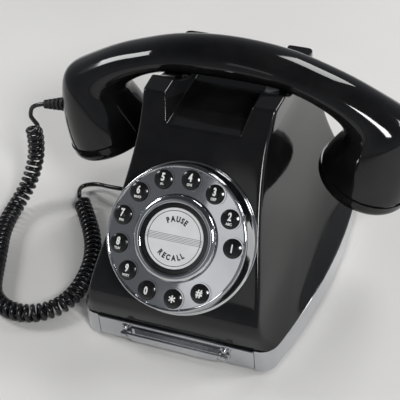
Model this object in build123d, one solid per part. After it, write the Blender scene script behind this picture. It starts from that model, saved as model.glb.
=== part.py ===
"""Retro desk telephone: a push-button set made to look like a rotary one.

Millimetres, +Z up, +Y towards the back, +X to the right as seen from the front.
The table is z = 0 and the origin is the middle of the set's footprint.
Depths are given from the front edge of the base, and back() turns one into a Y.
"""
import math
import os

from build123d import *

# Base: chrome band, floor, deck and feet
BASE_DEPTH = 178.0
BASE_HALF_FRONT = 58.5
BASE_HALF_MIDDLE = 73.5
BASE_HALF_REAR = 66.0
BASE_MIDDLE_DEPTH = 104.0
BASE_FRONT_ROUND = 10.0
BASE_REAR_ROUND = 16.0
FOOT_HEIGHT = 2.5
FOOT_RADIUS = 7.0
BAND_HEIGHT = 16.5
BAND_WALL = 1.2
FLOOR_THICK = 1.5
DECK_THICK = 1.5
SEAT_CLEAR = 0.3
FOOT_FRONT_X = 44.0
FOOT_FRONT_DEPTH = 16.0
FOOT_REAR_X = 50.0
FOOT_REAR_DEPTH = 156.0
SCREW_RADIUS = 1.5
SCREW_HEAD_RADIUS = 3.0
SCREW_HEAD_HEIGHT = 1.2
SCREW_CLEAR = 0.2

# Drawer and its pull
DRAWER_HALF_WIDTH = 49.2
DRAWER_SEAM = 0.4
DRAWER_FRONT_THICK = 2.0
DRAWER_DEPTH = 92.0
DRAWER_WALL = 1.5
DRAWER_RUN_CLEAR = 0.4
RUNNER_WIDTH = 2.5
PULL_HALF_SPAN = 31.5
PULL_PLATE_WIDTH = 6.0
PULL_PLATE_HEIGHT = 11.0
PULL_PLATE_THICK = 1.2
PULL_SCREW_PITCH = 7.0
PULL_SCREW_RADIUS = 1.7
PULL_POST_REACH = 3.2
PULL_POST_WALL = 1.0
PULL_PIVOT_SETBACK = 1.5
PULL_ROD_RADIUS = 0.9
PULL_PIVOT_CLEAR = 0.15
PULL_BAR_HEIGHT = 5.0
PULL_BAR_THICK = 1.4

# Housing
WALL = 3.0
HOUSING_INSET = 0.8
EAR_TOP = 133.0
SHELF_TOP = 117.0
ARM_INNER_X = 26.6
EAR_FRONT_LENGTH = 16.0
EAR_REAR_DEPTH = 137.0
EAR_REAR_TOP = 129.0
HOUSING_REAR_TOP = 149.0
HOUSING_REAR_FOOT = 176.5
HOUSING_FRONT_FOOT = 0.6
POST_RADIUS = 4.0
POST_HEIGHT = 9.0
POST_X = 59.0
POST_FRONT_DEPTH = 72.0
POST_REAR_DEPTH = 140.0

# Dial: tilt from the vertical, and the label plane's centre
DIAL_TILT = 40.6
DIAL_DEPTH = 14.5
DIAL_HEIGHT = 81.7
DIAL_LIFT = 14.5
BEZEL_BASE_RADIUS = 43.5
BEZEL_TOP_RADIUS = 41.6
BEZEL_WALL = 1.2
BEZEL_HEIGHT = 11.4
PLATE_THICK = 1.6
KEY_CIRCLE_RADIUS = 34.0
KEY_PLACES = 13
KEY_START_ANGLE = 1.7
KEY_RADIUS = 5.3
KEY_CLEAR = 0.35
KEY_FLANGE = 0.8
KEY_FLANGE_THICK = 1.2
KEY_FLANGE_GAP = 0.3
KEY_EDGE_STAND = 1.2
KEY_DOME = 1.3
KEY_STEM_RADIUS = 2.0
KEY_STEM_LENGTH = 1.9
KEY_TRAVEL = 1.5
HOLE_RIM_WIDTH = 0.8
HOLE_RIM_HEIGHT = 0.5
CENTRE_RING_RADIUS = 25.2
CENTRE_RING_HEIGHT = 3.8
COLLAR_RADIUS = 20.0
COLLAR_WALL = 2.1
COLLAR_DEPTH = 4.0
ROCKER_CLEAR = 0.6
ROCKER_THICK = 2.0
ROCKER_PIVOT_DROP = 0.5
ROCKER_PIN_RADIUS = 1.0
ROCKER_NUB_OFFSET = 9.0
BOARD_THICK = 1.6
BOARD_STAND = 3.4
MAT_THICK = 1.2

# Handset
HANDSET_DEPTH = 115.0
HANDLE_TOP_HEIGHT = 139.8
HANDLE_ARC_RADIUS = 150.0
HANDLE_END_X = 94.0
SHOULDER_BACK = 2.0
SHOULDER_TURN = 45.0
SHOULDER_OUT = 3.5
HANDLE_SINK = 38.0
HANDLE_END_TURN = 66.0
HANDLE_MID_HALF_HEIGHT = 9.5
HANDLE_MID_HALF_WIDTH = 12.0
HANDLE_END_HALF_HEIGHT = 14.0
HANDLE_END_HALF_WIDTH = 15.0
CUP_X = 81.5
CUP_RIM_HEIGHT = 61.0
CUP_LEAN = 21.0
CUP_RADIUS = 29.0
CUP_LENGTH = 54.0
CAP_RADIUS = 29.6
CAP_HEIGHT = 10.0
CAP_WALL = 2.5
CAP_ROUND = 6.0
SPIGOT_LENGTH = 5.0
SPIGOT_WALL = 1.8
CAP_CLEAR = 0.3
CUP_BORE_DEPTH = 20.0
CAPSULE_RADIUS = 23.0
CAPSULE_HEIGHT = 9.0
CAP_HOLE_RADIUS = 1.6
CRADLE_CLEAR = 0.3
RELIEF_HEIGHT = 81.0
RELIEF_X = 116.2
RELIEF_LENGTH = 17.0
RELIEF_ROOT_RADIUS = 4.6
RELIEF_TIP_RADIUS = 3.0
RELIEF_RIBS = 5
RELIEF_DIP = 12.0

# Hook switch
PLUNGER_X = 33.0
PLUNGER_RADIUS = 2.5
PLUNGER_CLEAR = 0.35
PLUNGER_TRAVEL = 4.0
HOOK_BAR_LAP = 3.2
HOOK_BAR_THICK = 4.0
HOOK_BAR_WIDTH = 8.0
HOOK_SWITCH_HEIGHT = 8.0

# Cord
WIRE_RADIUS = 1.5
CURL_RADIUS = 4.5
CURL_PITCH = 4.3

BAND_TOP = FOOT_HEIGHT + BAND_HEIGHT
FLOOR_TOP = FOOT_HEIGHT + FLOOR_THICK
DECK_BOTTOM = BAND_TOP - DECK_THICK
PIVOT_REACH = PULL_PLATE_THICK + PULL_POST_REACH - PULL_PIVOT_SETBACK
PULL_REACH = PIVOT_REACH + PULL_ROD_RADIUS + PULL_POST_WALL
KNOB_REACH = 2.0
DIAL_REACH = (BEZEL_TOP_RADIUS * math.sin(math.radians(DIAL_TILT)) - DIAL_DEPTH
              + (BEZEL_HEIGHT + PLATE_THICK - DIAL_LIFT) * math.cos(math.radians(DIAL_TILT)))
CENTRE_DEPTH = (BASE_DEPTH + KNOB_REACH - max(PULL_REACH, DIAL_REACH)) / 2.0


def back(depth):
    """Y of a depth measured from the front edge of the base."""
    return depth - CENTRE_DEPTH


def group(*shapes):
    """Several separate solids in one node."""
    return Compound(children=[solid for shape in shapes for solid in shape.solids()])


def block(x0, x1, d0, d1, z0, z1):
    """Box between two X, two depths and two heights."""
    size = Box(x1 - x0, d1 - d0, z1 - z0, align=Align.MIN)
    return Pos(x0, back(d0), z0) * size


def rod(x, depth, z0, z1, radius):
    """Upright cylinder."""
    bar = Cylinder(radius, z1 - z0, align=(Align.CENTER, Align.CENTER, Align.MIN))
    return Pos(x, back(depth), z0) * bar


def save(shape, node):
    """One STEP file for one node."""
    export_step(shape, f"parts/{node}.step")


os.makedirs("parts", exist_ok=True)


# Base outline: straight front and back, bowed sides, rounded corners
def base_outline(inset):
    """Plan of the base, drawn in by an inset."""
    front = back(inset)
    rear = back(BASE_DEPTH - inset)
    middle = back(BASE_MIDDLE_DEPTH)
    half_front = BASE_HALF_FRONT - inset
    half_middle = BASE_HALF_MIDDLE - inset
    half_rear = BASE_HALF_REAR - inset
    edges = [
        Line((-half_front, front), (half_front, front)),
        ThreePointArc((half_front, front), (half_middle, middle), (half_rear, rear)),
        Line((half_rear, rear), (-half_rear, rear)),
        ThreePointArc((-half_rear, rear), (-half_middle, middle), (-half_front, front)),
    ]
    face = make_face(edges)
    corners = face.vertices().sort_by(Axis.Y)
    face = fillet(corners[:2], BASE_FRONT_ROUND - min(inset, BASE_FRONT_ROUND / 2))
    corners = face.vertices().sort_by(Axis.Y)
    return fillet(corners[-2:], BASE_REAR_ROUND - min(inset, BASE_REAR_ROUND / 2))


def base_prism(inset, z0, z1):
    """Upright prism of the base outline."""
    return Pos(0, 0, z0) * extrude(base_outline(inset), z1 - z0)


foot_places = [(sx * x, depth) for x, depth in
               [(FOOT_FRONT_X, FOOT_FRONT_DEPTH), (FOOT_REAR_X, FOOT_REAR_DEPTH)] for sx in (-1, 1)]
plate_inset = BAND_WALL + SEAT_CLEAR

drawer_gap = DRAWER_HALF_WIDTH + DRAWER_SEAM
panel_room = DRAWER_FRONT_THICK + DRAWER_SEAM

base_plate = base_prism(plate_inset, FOOT_HEIGHT, FLOOR_TOP)
base_plate -= block(-drawer_gap, drawer_gap, 0, panel_room, FOOT_HEIGHT, FLOOR_TOP)
for x, depth in foot_places:
    base_plate -= rod(x, depth, FOOT_HEIGHT, FLOOR_TOP, SCREW_RADIUS + SCREW_CLEAR)
save(base_plate, "base_plate")

feet = []
base_screws = []
for x, depth in foot_places:
    foot = rod(x, depth, 0, FOOT_HEIGHT, FOOT_RADIUS)
    foot -= rod(x, depth, 0, FOOT_HEIGHT / 2, SCREW_HEAD_RADIUS + SCREW_CLEAR)
    foot -= rod(x, depth, 0, FOOT_HEIGHT, SCREW_RADIUS + SCREW_CLEAR)
    feet.append(foot)
    screw = rod(x, depth, FOOT_HEIGHT / 2 - SCREW_HEAD_HEIGHT, FOOT_HEIGHT / 2, SCREW_HEAD_RADIUS)
    screw += rod(x, depth, FOOT_HEIGHT / 2, FLOOR_TOP, SCREW_RADIUS)
    base_screws.append(screw)
save(group(*feet), "rubber_feet")
save(group(*base_screws), "base_screws")

# Chrome band round the sides and back, open at the front for the drawer
JACK_DEPTH = 120.0
JACK_HEIGHT = 10.5
JACK_HALF_WIDTH = 6.0
JACK_HALF_HEIGHT = 4.6
JACK_LENGTH = 16.0
LINE_JACK_X = 0.0
PLUG_HALF_WIDTH = 3.3
PLUG_HALF_HEIGHT = 3.0
SWITCH_HALF_SPAN = 26.0
KNOB_HALF_WIDTH = 2.0
KNOB_HALF_HEIGHT = 1.6
VOLUME_TRAVEL = 3.0
TONE_TRAVEL = 2.0
SLOT_CLEAR = 0.4

base_trim = base_prism(0, FOOT_HEIGHT, BAND_TOP) - base_prism(BAND_WALL, FOOT_HEIGHT, BAND_TOP)
base_trim -= block(-drawer_gap, drawer_gap, -BAND_WALL, panel_room, FOOT_HEIGHT, BAND_TOP)
side_wall = block(-BASE_HALF_MIDDLE - 2, -BASE_HALF_MIDDLE + JACK_LENGTH / 2,
                  JACK_DEPTH - JACK_HALF_WIDTH, JACK_DEPTH + JACK_HALF_WIDTH,
                  JACK_HEIGHT - JACK_HALF_HEIGHT, JACK_HEIGHT + JACK_HALF_HEIGHT)
base_trim -= side_wall
base_trim -= block(LINE_JACK_X - JACK_HALF_WIDTH, LINE_JACK_X + JACK_HALF_WIDTH,
                   BASE_DEPTH - BAND_WALL - 1, BASE_DEPTH + 1,
                   JACK_HEIGHT - JACK_HALF_HEIGHT, JACK_HEIGHT + JACK_HALF_HEIGHT)
knob_places = [("volume_switch", SWITCH_HALF_SPAN, VOLUME_TRAVEL),
               ("tone_switch", -SWITCH_HALF_SPAN, TONE_TRAVEL)]
for _, x, travel in knob_places:
    half = KNOB_HALF_WIDTH + travel + SLOT_CLEAR
    base_trim -= block(x - half, x + half, BASE_DEPTH - BAND_WALL - 1, BASE_DEPTH + 1,
                       JACK_HEIGHT - KNOB_HALF_HEIGHT - SLOT_CLEAR,
                       JACK_HEIGHT + KNOB_HALF_HEIGHT + SLOT_CLEAR)
save(base_trim, "base_trim")

# Deck that closes the drawer's bay and carries the housing
post_places = [(s * POST_X, depth) for depth in (POST_FRONT_DEPTH, POST_REAR_DEPTH) for s in (-1, 1)]
base_deck = base_prism(plate_inset, DECK_BOTTOM, BAND_TOP)
base_deck -= block(-drawer_gap, drawer_gap, 0, panel_room, DECK_BOTTOM, BAND_TOP)
for x, depth in post_places:
    base_deck -= rod(x, depth, DECK_BOTTOM, BAND_TOP, SCREW_RADIUS + SCREW_CLEAR)
save(base_deck, "base_deck")

# Runners: two rails on the floor that guide the drawer's sides
TRAY_HALF_WIDTH = DRAWER_HALF_WIDTH - 3.0
runner_inner = TRAY_HALF_WIDTH + DRAWER_RUN_CLEAR
runners = [block(min(s * runner_inner, s * (runner_inner + RUNNER_WIDTH)),
                 max(s * runner_inner, s * (runner_inner + RUNNER_WIDTH)),
                 FOOT_FRONT_DEPTH + 6, DRAWER_DEPTH, FLOOR_TOP, DECK_BOTTOM) for s in (-1, 1)]
save(group(*runners), "drawer_runners")

# Ballast: a steel bar behind the drawer that keeps the light set on the table
BALLAST_HALF_WIDTH = 34.0
BALLAST_GAP = 30.0
BALLAST_LENGTH = 26.0
BALLAST_HEIGHT = 9.0
ballast_start = DRAWER_DEPTH + BALLAST_GAP
ballast = block(-BALLAST_HALF_WIDTH, BALLAST_HALF_WIDTH, ballast_start, ballast_start + BALLAST_LENGTH,
                FLOOR_TOP, FLOOR_TOP + BALLAST_HEIGHT)
save(ballast, "ballast_weight")

# Drawer: chrome front panel and a plain tray behind it
front_bottom = FOOT_HEIGHT + 0.6
front_top = BAND_TOP - 0.3
drawer_front = block(-DRAWER_HALF_WIDTH, DRAWER_HALF_WIDTH, 0, DRAWER_FRONT_THICK, front_bottom, front_top)
save(drawer_front, "drawer_front")

tray_bottom = FLOOR_TOP + DRAWER_RUN_CLEAR
tray_top = DECK_BOTTOM - DRAWER_RUN_CLEAR
tray = block(-TRAY_HALF_WIDTH, TRAY_HALF_WIDTH, DRAWER_FRONT_THICK, DRAWER_DEPTH, tray_bottom, tray_top)
tray -= block(-TRAY_HALF_WIDTH + DRAWER_WALL, TRAY_HALF_WIDTH - DRAWER_WALL,
              DRAWER_FRONT_THICK + DRAWER_WALL, DRAWER_DEPTH - DRAWER_WALL,
              tray_bottom + DRAWER_WALL, tray_top)
save(tray, "drawer_tray")

# Pull: two end plates with two dome screws each, and a swinging bar between their posts
pull_height = (front_bottom + front_top) / 2
plates = []
pull_screws = []
for s in (-1, 1):
    plate = RectangleRounded(PULL_PLATE_WIDTH, PULL_PLATE_HEIGHT, PULL_PLATE_WIDTH / 2 - 0.2)
    plate = Plane.XZ * extrude(plate, PULL_PLATE_THICK)
    plate = Pos(s * PULL_HALF_SPAN, back(0), pull_height) * plate
    post = Cylinder(PULL_ROD_RADIUS + PULL_POST_WALL, PULL_PLATE_WIDTH / 2, rotation=(0, 90, 0))
    neck = Box(PULL_PLATE_WIDTH / 2, PULL_POST_REACH, 2 * PULL_ROD_RADIUS,
               align=(Align.CENTER, Align.MAX, Align.CENTER))
    hole = Cylinder(PULL_ROD_RADIUS + PULL_PIVOT_CLEAR, PULL_PLATE_WIDTH, rotation=(0, 90, 0))
    pivot = Pos(s * PULL_HALF_SPAN, back(-PIVOT_REACH), pull_height)
    plate += Pos(s * PULL_HALF_SPAN, back(-PULL_PLATE_THICK), pull_height) * neck
    plate = plate + pivot * post - pivot * hole
    plates.append(plate)
    for t in (-1, 1):
        centre = Pos(s * PULL_HALF_SPAN, back(-PULL_PLATE_THICK), pull_height + t * PULL_SCREW_PITCH / 2)
        dome = Sphere(PULL_SCREW_RADIUS) & Box(9, 9, 9, align=(Align.CENTER, Align.MAX, Align.CENTER))
        pull_screws.append(centre * dome)
save(group(*plates), "pull_plates")
save(group(*pull_screws), "pull_screws")

rod_half = PULL_HALF_SPAN + PULL_PLATE_WIDTH / 4 + 1.0
bail = Pos(0, back(-PIVOT_REACH), pull_height) * Cylinder(PULL_ROD_RADIUS, 2 * rod_half, rotation=(0, 90, 0))
bar_half = PULL_HALF_SPAN - PULL_PLATE_WIDTH / 2 - 1.0
bar = Box(2 * bar_half, PULL_BAR_THICK, PULL_BAR_HEIGHT, align=(Align.CENTER, Align.CENTER, Align.MAX))
bail += Pos(0, back(-PIVOT_REACH), pull_height + PULL_ROD_RADIUS / 2) * bar
save(bail, "pull_bail")

# Dial frame: u to the right, v up the face, w out of it, with w = 0 on the housing's face
tilt = math.radians(DIAL_TILT)
out_y, out_z = -math.cos(tilt), math.sin(tilt)
face_depth = DIAL_DEPTH - DIAL_LIFT * out_y
face_height = DIAL_HEIGHT - DIAL_LIFT * out_z
DIAL = Plane(origin=(0, back(face_depth), face_height), x_dir=(1, 0, 0), z_dir=(0, out_y, out_z))


def face_line(height):
    """Depth of the sloping face at a height."""
    return face_depth + (height - face_height) * math.tan(tilt)


def on_dial(u, v, w):
    """Place in the dial's frame."""
    return DIAL.location * Pos(u, v, w)


def dial_ring(outer, inner, w0, w1):
    """Flat ring about the dial's axis."""
    ring = Cylinder(outer, w1 - w0, align=(Align.CENTER, Align.CENTER, Align.MIN))
    if inner > 0:
        ring -= Cylinder(inner, w1 - w0, align=(Align.CENTER, Align.CENTER, Align.MIN))
    return on_dial(0, 0, w0) * ring


# Housing flanks: half widths at a front, a middle and a rear station, height by height
FLANK_HEIGHTS = [19.0, 28.0, 40.0, 55.0, 75.0, 95.0, 115.0, 138.0]
FLANK_FRONT = [BASE_HALF_FRONT, 55.0, 52.5, 50.0, 44.5, 39.0, 35.0, 34.0]
FLANK_MIDDLE = [BASE_HALF_MIDDLE + 1.0, 65.0, 57.0, 51.0, 46.0, 42.5, 40.5, 42.0]
FLANK_REAR = [BASE_HALF_REAR + 2.0, 60.0, 54.0, 49.0, 44.5, 41.5, 40.0, 41.0]
FLANK_FRONT_DEPTH = -8.0
FLANK_REAR_DEPTH = 186.0
APRON_LIP = 1.0
CEILING = SHELF_TOP - WALL


def flank_loft(inset):
    """Body between the two flared flanks, drawn in by an inset."""
    y0 = back(FLANK_FRONT_DEPTH)
    ym = back(BASE_MIDDLE_DEPTH)
    y1 = back(FLANK_REAR_DEPTH)
    sections = []
    for z, front, middle, rear in zip(FLANK_HEIGHTS, FLANK_FRONT, FLANK_MIDDLE, FLANK_REAR):
        a, m, r = front - inset, middle - inset, rear - inset
        edges = [
            Line((-a, y0), (a, y0)),
            ThreePointArc((a, y0), (m, ym), (r, y1)),
            Line((r, y1), (-r, y1)),
            ThreePointArc((-r, y1), (-m, ym), (-a, y0)),
        ]
        sections.append(Pos(0, 0, z) * make_face(edges))
    return loft(sections)


def side_prism(inset, floor, top):
    """Side profile of the housing, as wide as the base: apron, sloping face, top and back."""
    slope = inset / math.cos(tilt)
    apron_top = face_height - (BEZEL_BASE_RADIUS + APRON_LIP) * math.cos(tilt)
    knee = (face_line(apron_top) + inset, apron_top)
    knee = (knee[0], face_height + (knee[0] - slope - face_depth) / math.tan(tilt))
    points = [
        (HOUSING_FRONT_FOOT + inset, floor),
        knee,
        (face_line(top) + slope, top),
        (HOUSING_REAR_TOP - inset, top),
        (HOUSING_REAR_FOOT - inset, floor),
    ]
    outline = Polyline(*[(back(depth), z) for depth, z in points], close=True)
    half = BASE_HALF_MIDDLE + 5
    return Pos(-half, 0, 0) * extrude(Plane.YZ * make_face(outline), 2 * half)


housing = side_prism(0, BAND_TOP, EAR_TOP) & flank_loft(0) & base_prism(HOUSING_INSET, BAND_TOP, EAR_TOP)
cavity = side_prism(WALL, BAND_TOP, CEILING) & flank_loft(WALL)
cavity = cavity & base_prism(HOUSING_INSET + WALL, BAND_TOP, CEILING)
housing -= cavity

# Cradle: a shelf between two arms, and a saddle across the arms for the handle
handle_axis = lambda x: HANDLE_TOP_HEIGHT - HANDLE_ARC_RADIUS + math.sqrt(HANDLE_ARC_RADIUS ** 2 - x ** 2)
arm_outer = max(FLANK_MIDDLE[-2:])
saddle_floor = handle_axis(arm_outer) - HANDLE_MID_HALF_HEIGHT - 2 * CRADLE_CLEAR - 0.6
front_ear_back = face_line(EAR_TOP) + EAR_FRONT_LENGTH
housing -= block(-ARM_INNER_X, ARM_INNER_X, 0, BASE_DEPTH, SHELF_TOP, EAR_TOP)
saddle = make_face([
    ThreePointArc((back(front_ear_back), EAR_TOP), (back(HANDSET_DEPTH), saddle_floor),
                  (back(EAR_REAR_DEPTH), EAR_TOP)),
    Line((back(EAR_REAR_DEPTH), EAR_TOP), (back(front_ear_back), EAR_TOP)),
])
housing -= Pos(-BASE_HALF_MIDDLE, 0, 0) * extrude(Plane.YZ * saddle, 2 * BASE_HALF_MIDDLE)
housing -= block(-BASE_HALF_MIDDLE, BASE_HALF_MIDDLE, HANDSET_DEPTH, BASE_DEPTH, EAR_REAR_TOP, EAR_TOP)
for s in (-1, 1):
    housing -= rod(s * PLUNGER_X, HANDSET_DEPTH, CEILING - WALL, EAR_TOP, PLUNGER_RADIUS + PLUNGER_CLEAR)

# Screw posts inside the foot of the housing, and the posts and wire hole on its face
KEYPAD_POST_RADIUS = 3.0
KEYPAD_POST_CIRCLE = 23.0
WIRE_HOLE_RADIUS = 8.0
keypad_posts = [(KEYPAD_POST_CIRCLE * math.cos(math.radians(a)), KEYPAD_POST_CIRCLE * math.sin(math.radians(a)))
                for a in (45, 135, 225, 315)]
for x, depth in post_places:
    housing += rod(x, depth, BAND_TOP, BAND_TOP + POST_HEIGHT, POST_RADIUS) & flank_loft(WALL / 2)
    housing -= rod(x, depth, BAND_TOP, BAND_TOP + POST_HEIGHT - 2, SCREW_RADIUS)
for u, v in keypad_posts:
    post = Cylinder(KEYPAD_POST_RADIUS, BOARD_STAND + 1, align=(Align.CENTER, Align.CENTER, Align.MIN))
    housing += on_dial(u, v, -1) * post
    housing -= on_dial(u, v, 0) * Cylinder(SCREW_RADIUS, BOARD_STAND, align=(Align.CENTER, Align.CENTER, Align.MIN))
housing -= dial_ring(WIRE_HOLE_RADIUS, 0, -2 * WALL, 1)
save(housing, "housing")

housing_screws = []
for x, depth in post_places:
    screw = rod(x, depth, DECK_BOTTOM - SCREW_HEAD_HEIGHT, DECK_BOTTOM, SCREW_HEAD_RADIUS)
    screw += rod(x, depth, DECK_BOTTOM, BAND_TOP + POST_HEIGHT - 3, SCREW_RADIUS)
    housing_screws.append(screw)
save(group(*housing_screws), "housing_screws")

# Dial shell: a tapered chrome drum on the face, with a flat chrome plate on top
plate_bottom = BEZEL_HEIGHT
plate_top = plate_bottom + PLATE_THICK
drum = make_face(Polyline((BEZEL_BASE_RADIUS, 0), (BEZEL_TOP_RADIUS, BEZEL_HEIGHT),
                          (BEZEL_TOP_RADIUS - BEZEL_WALL, BEZEL_HEIGHT), (BEZEL_BASE_RADIUS - BEZEL_WALL, 0),
                          close=True))
save(DIAL.location * revolve(Plane.XZ * drum, Axis.Z), "dial_bezel")

key_names = ["1", "2", "3", "4", "5", "6", "7", "8", "9", "0", "star", "hash"]
key_places = []
for i in range(len(key_names)):
    angle = math.radians(KEY_START_ANGLE + i * 360.0 / KEY_PLACES)
    key_places.append((KEY_CIRCLE_RADIUS * math.cos(angle), KEY_CIRCLE_RADIUS * math.sin(angle)))

hole_radius = KEY_RADIUS + KEY_CLEAR
dial_plate = dial_ring(BEZEL_TOP_RADIUS, COLLAR_RADIUS + SEAT_CLEAR, plate_bottom, plate_top)
for u, v in key_places:
    rim = Cylinder(hole_radius + HOLE_RIM_WIDTH, PLATE_THICK + HOLE_RIM_HEIGHT,
                   align=(Align.CENTER, Align.CENTER, Align.MIN))
    dial_plate += on_dial(u, v, plate_bottom) * rim
for u, v in key_places:
    dial_plate -= on_dial(u, v, plate_bottom) * Cylinder(hole_radius, 4 * PLATE_THICK)
save(dial_plate, "dial_plate")

# Keys: domed caps on a flange under the plate, with a stem over the rubber mat
flange_top = plate_bottom - KEY_FLANGE_GAP
flange_bottom = flange_top - KEY_FLANGE_THICK
key_edge = plate_top + KEY_EDGE_STAND
dome_radius = (KEY_RADIUS ** 2 + KEY_DOME ** 2) / (2 * KEY_DOME)
half_turn = math.asin(KEY_RADIUS / dome_radius) / 2
key_shoulder = (dome_radius * math.sin(half_turn),
                key_edge + KEY_DOME - dome_radius * (1 - math.cos(half_turn)))
key_half = make_face([
    Line((0, flange_bottom - KEY_STEM_LENGTH), (KEY_STEM_RADIUS, flange_bottom - KEY_STEM_LENGTH)),
    Line((KEY_STEM_RADIUS, flange_bottom - KEY_STEM_LENGTH), (KEY_STEM_RADIUS, flange_bottom)),
    Line((KEY_STEM_RADIUS, flange_bottom), (KEY_RADIUS + KEY_FLANGE, flange_bottom)),
    Line((KEY_RADIUS + KEY_FLANGE, flange_bottom), (KEY_RADIUS + KEY_FLANGE, flange_top)),
    Line((KEY_RADIUS + KEY_FLANGE, flange_top), (KEY_RADIUS, flange_top)),
    Line((KEY_RADIUS, flange_top), (KEY_RADIUS, key_edge)),
    ThreePointArc((KEY_RADIUS, key_edge), key_shoulder, (0, key_edge + KEY_DOME)),
    Line((0, key_edge + KEY_DOME), (0, flange_bottom - KEY_STEM_LENGTH)),
])
key = revolve(Plane.XZ * key_half, Axis.Z)
for name, (u, v) in zip(key_names, key_places):
    save(on_dial(u, v, 0) * key, f"key_{name}")

# Keypad board on the face's posts, its screws, and the rubber mat under the keys
board_top = BOARD_STAND + BOARD_THICK
inner_radius = BEZEL_TOP_RADIUS - BEZEL_WALL - SEAT_CLEAR
mat_inner = KEYPAD_POST_CIRCLE + SCREW_HEAD_RADIUS + SEAT_CLEAR
keypad_board = dial_ring(inner_radius, WIRE_HOLE_RADIUS / 2, BOARD_STAND, board_top)
keypad_screws = []
for u, v in keypad_posts:
    keypad_board -= on_dial(u, v, BOARD_STAND) * Cylinder(SCREW_RADIUS + SCREW_CLEAR, 4 * BOARD_THICK)
    head = Cylinder(SCREW_HEAD_RADIUS, SCREW_HEAD_HEIGHT, align=(Align.CENTER, Align.CENTER, Align.MIN))
    shank = Cylinder(SCREW_RADIUS, board_top - 1, align=(Align.CENTER, Align.CENTER, Align.MAX))
    keypad_screws.append(on_dial(u, v, board_top) * (head + shank))
save(keypad_board, "keypad_board")
save(group(*keypad_screws), "keypad_screws")

keypad_mat = dial_ring(inner_radius, mat_inner, board_top, board_top + MAT_THICK)
save(keypad_mat, "keypad_mat")

# Centre: a raised chrome ring, a black collar in it, and the rocker's pin across the collar
ring_inner = COLLAR_RADIUS + SEAT_CLEAR
ring_top = plate_top + CENTRE_RING_HEIGHT
ring = make_face([
    Line((CENTRE_RING_RADIUS, plate_top), (ring_inner, plate_top)),
    Line((ring_inner, plate_top), (ring_inner, ring_top - 0.6)),
    ThreePointArc((ring_inner, ring_top - 0.6), ((ring_inner + CENTRE_RING_RADIUS) / 2, ring_top - 0.3),
                  (CENTRE_RING_RADIUS - 0.6, plate_top + CENTRE_RING_HEIGHT / 2)),
    Line((CENTRE_RING_RADIUS - 0.6, plate_top + CENTRE_RING_HEIGHT / 2), (CENTRE_RING_RADIUS, plate_top)),
])
save(DIAL.location * revolve(Plane.XZ * ring, Axis.Z), "centre_ring")

collar_top = ring_top - 1.0
collar_inner = COLLAR_RADIUS - COLLAR_WALL
rocker_radius = collar_inner - ROCKER_CLEAR
rocker_top = collar_top - 0.2
rocker_bottom = rocker_top - ROCKER_THICK
pivot_w = rocker_bottom - ROCKER_PIVOT_DROP - ROCKER_PIN_RADIUS
collar = dial_ring(COLLAR_RADIUS, collar_inner, plate_bottom - COLLAR_DEPTH, collar_top)
pin_half = COLLAR_RADIUS - 0.4
pin = on_dial(0, 0, pivot_w) * Cylinder(ROCKER_PIN_RADIUS, 2 * pin_half, rotation=(0, 90, 0))
collar -= pin
save(collar, "centre_collar")
save(pin, "rocker_pin")

# Rocker: the white centre button, pressed at its top or its bottom edge
boss_half = rocker_radius - 5.0
boss = Box(2 * boss_half, 4 * ROCKER_PIN_RADIUS, 2 * ROCKER_PIN_RADIUS + 2 * ROCKER_PIVOT_DROP + 1,
           align=(Align.CENTER, Align.CENTER, Align.MAX))
rocker = dial_ring(rocker_radius, 0, rocker_bottom, rocker_top) + on_dial(0, 0, rocker_bottom) * boss
rocker -= on_dial(0, 0, pivot_w) * Cylinder(ROCKER_PIN_RADIUS + 0.15, 2 * COLLAR_RADIUS, rotation=(0, 90, 0))
switch_top = rocker_bottom - 4.0
nub_length = 3.0
for t in (-1, 1):
    nub = Cylinder(1.5, nub_length, align=(Align.CENTER, Align.CENTER, Align.MAX))
    rocker += on_dial(0, t * ROCKER_NUB_OFFSET, rocker_bottom) * nub
save(rocker, "rocker")

tact = []
for t in (-1, 1):
    tact.append(on_dial(0, t * ROCKER_NUB_OFFSET, board_top) * Box(
        6, 6, switch_top - board_top, align=(Align.CENTER, Align.CENTER, Align.MIN)))
save(group(*tact), "rocker_switches")

# Handset: an arched handle between two cups that lean out from their rims
lean = math.radians(CUP_LEAN)


def cup_frame(side):
    """Rim plane of a cup, its axis up into the handset; side is -1 left, +1 right."""
    return Plane(origin=(side * CUP_X, back(HANDSET_DEPTH), CUP_RIM_HEIGHT), x_dir=(0, 1, 0),
                 z_dir=(side * math.sin(lean), 0, math.cos(lean)))


def handle_section(x, z, turn, half_height, half_width):
    """Oval section of the handle, square to its run; turn is the run's dip in degrees."""
    dip_angle = math.radians(turn)
    plane = Plane(origin=(x, back(HANDSET_DEPTH), z), x_dir=(0, 1, 0),
                  z_dir=(math.cos(dip_angle), 0, -math.sin(dip_angle)))
    return plane * Ellipse(half_width, half_height)


# Stations of one half: the arch, the shoulder over the cup, and the end inside the cup
arch = []
for x in (0.0, 0.36 * HANDLE_END_X, 0.62 * HANDLE_END_X, 0.84 * HANDLE_END_X):
    grow = (x / HANDLE_END_X) ** 3
    half_height = HANDLE_MID_HALF_HEIGHT + (HANDLE_END_HALF_HEIGHT - HANDLE_MID_HALF_HEIGHT) * grow
    half_width = HANDLE_MID_HALF_WIDTH + (HANDLE_END_HALF_WIDTH - HANDLE_MID_HALF_WIDTH) * grow
    arch.append((x, handle_axis(x), math.degrees(math.asin(x / HANDLE_ARC_RADIUS)), half_height, half_width))
end_x = CUP_X + HANDLE_SINK * math.sin(lean) + SHOULDER_OUT
end_z = CUP_RIM_HEIGHT + HANDLE_SINK * math.cos(lean)
arch.append((HANDLE_END_X - SHOULDER_BACK, (handle_axis(HANDLE_END_X - SHOULDER_BACK)), SHOULDER_TURN,
             HANDLE_END_HALF_HEIGHT, HANDLE_END_HALF_WIDTH))
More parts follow.
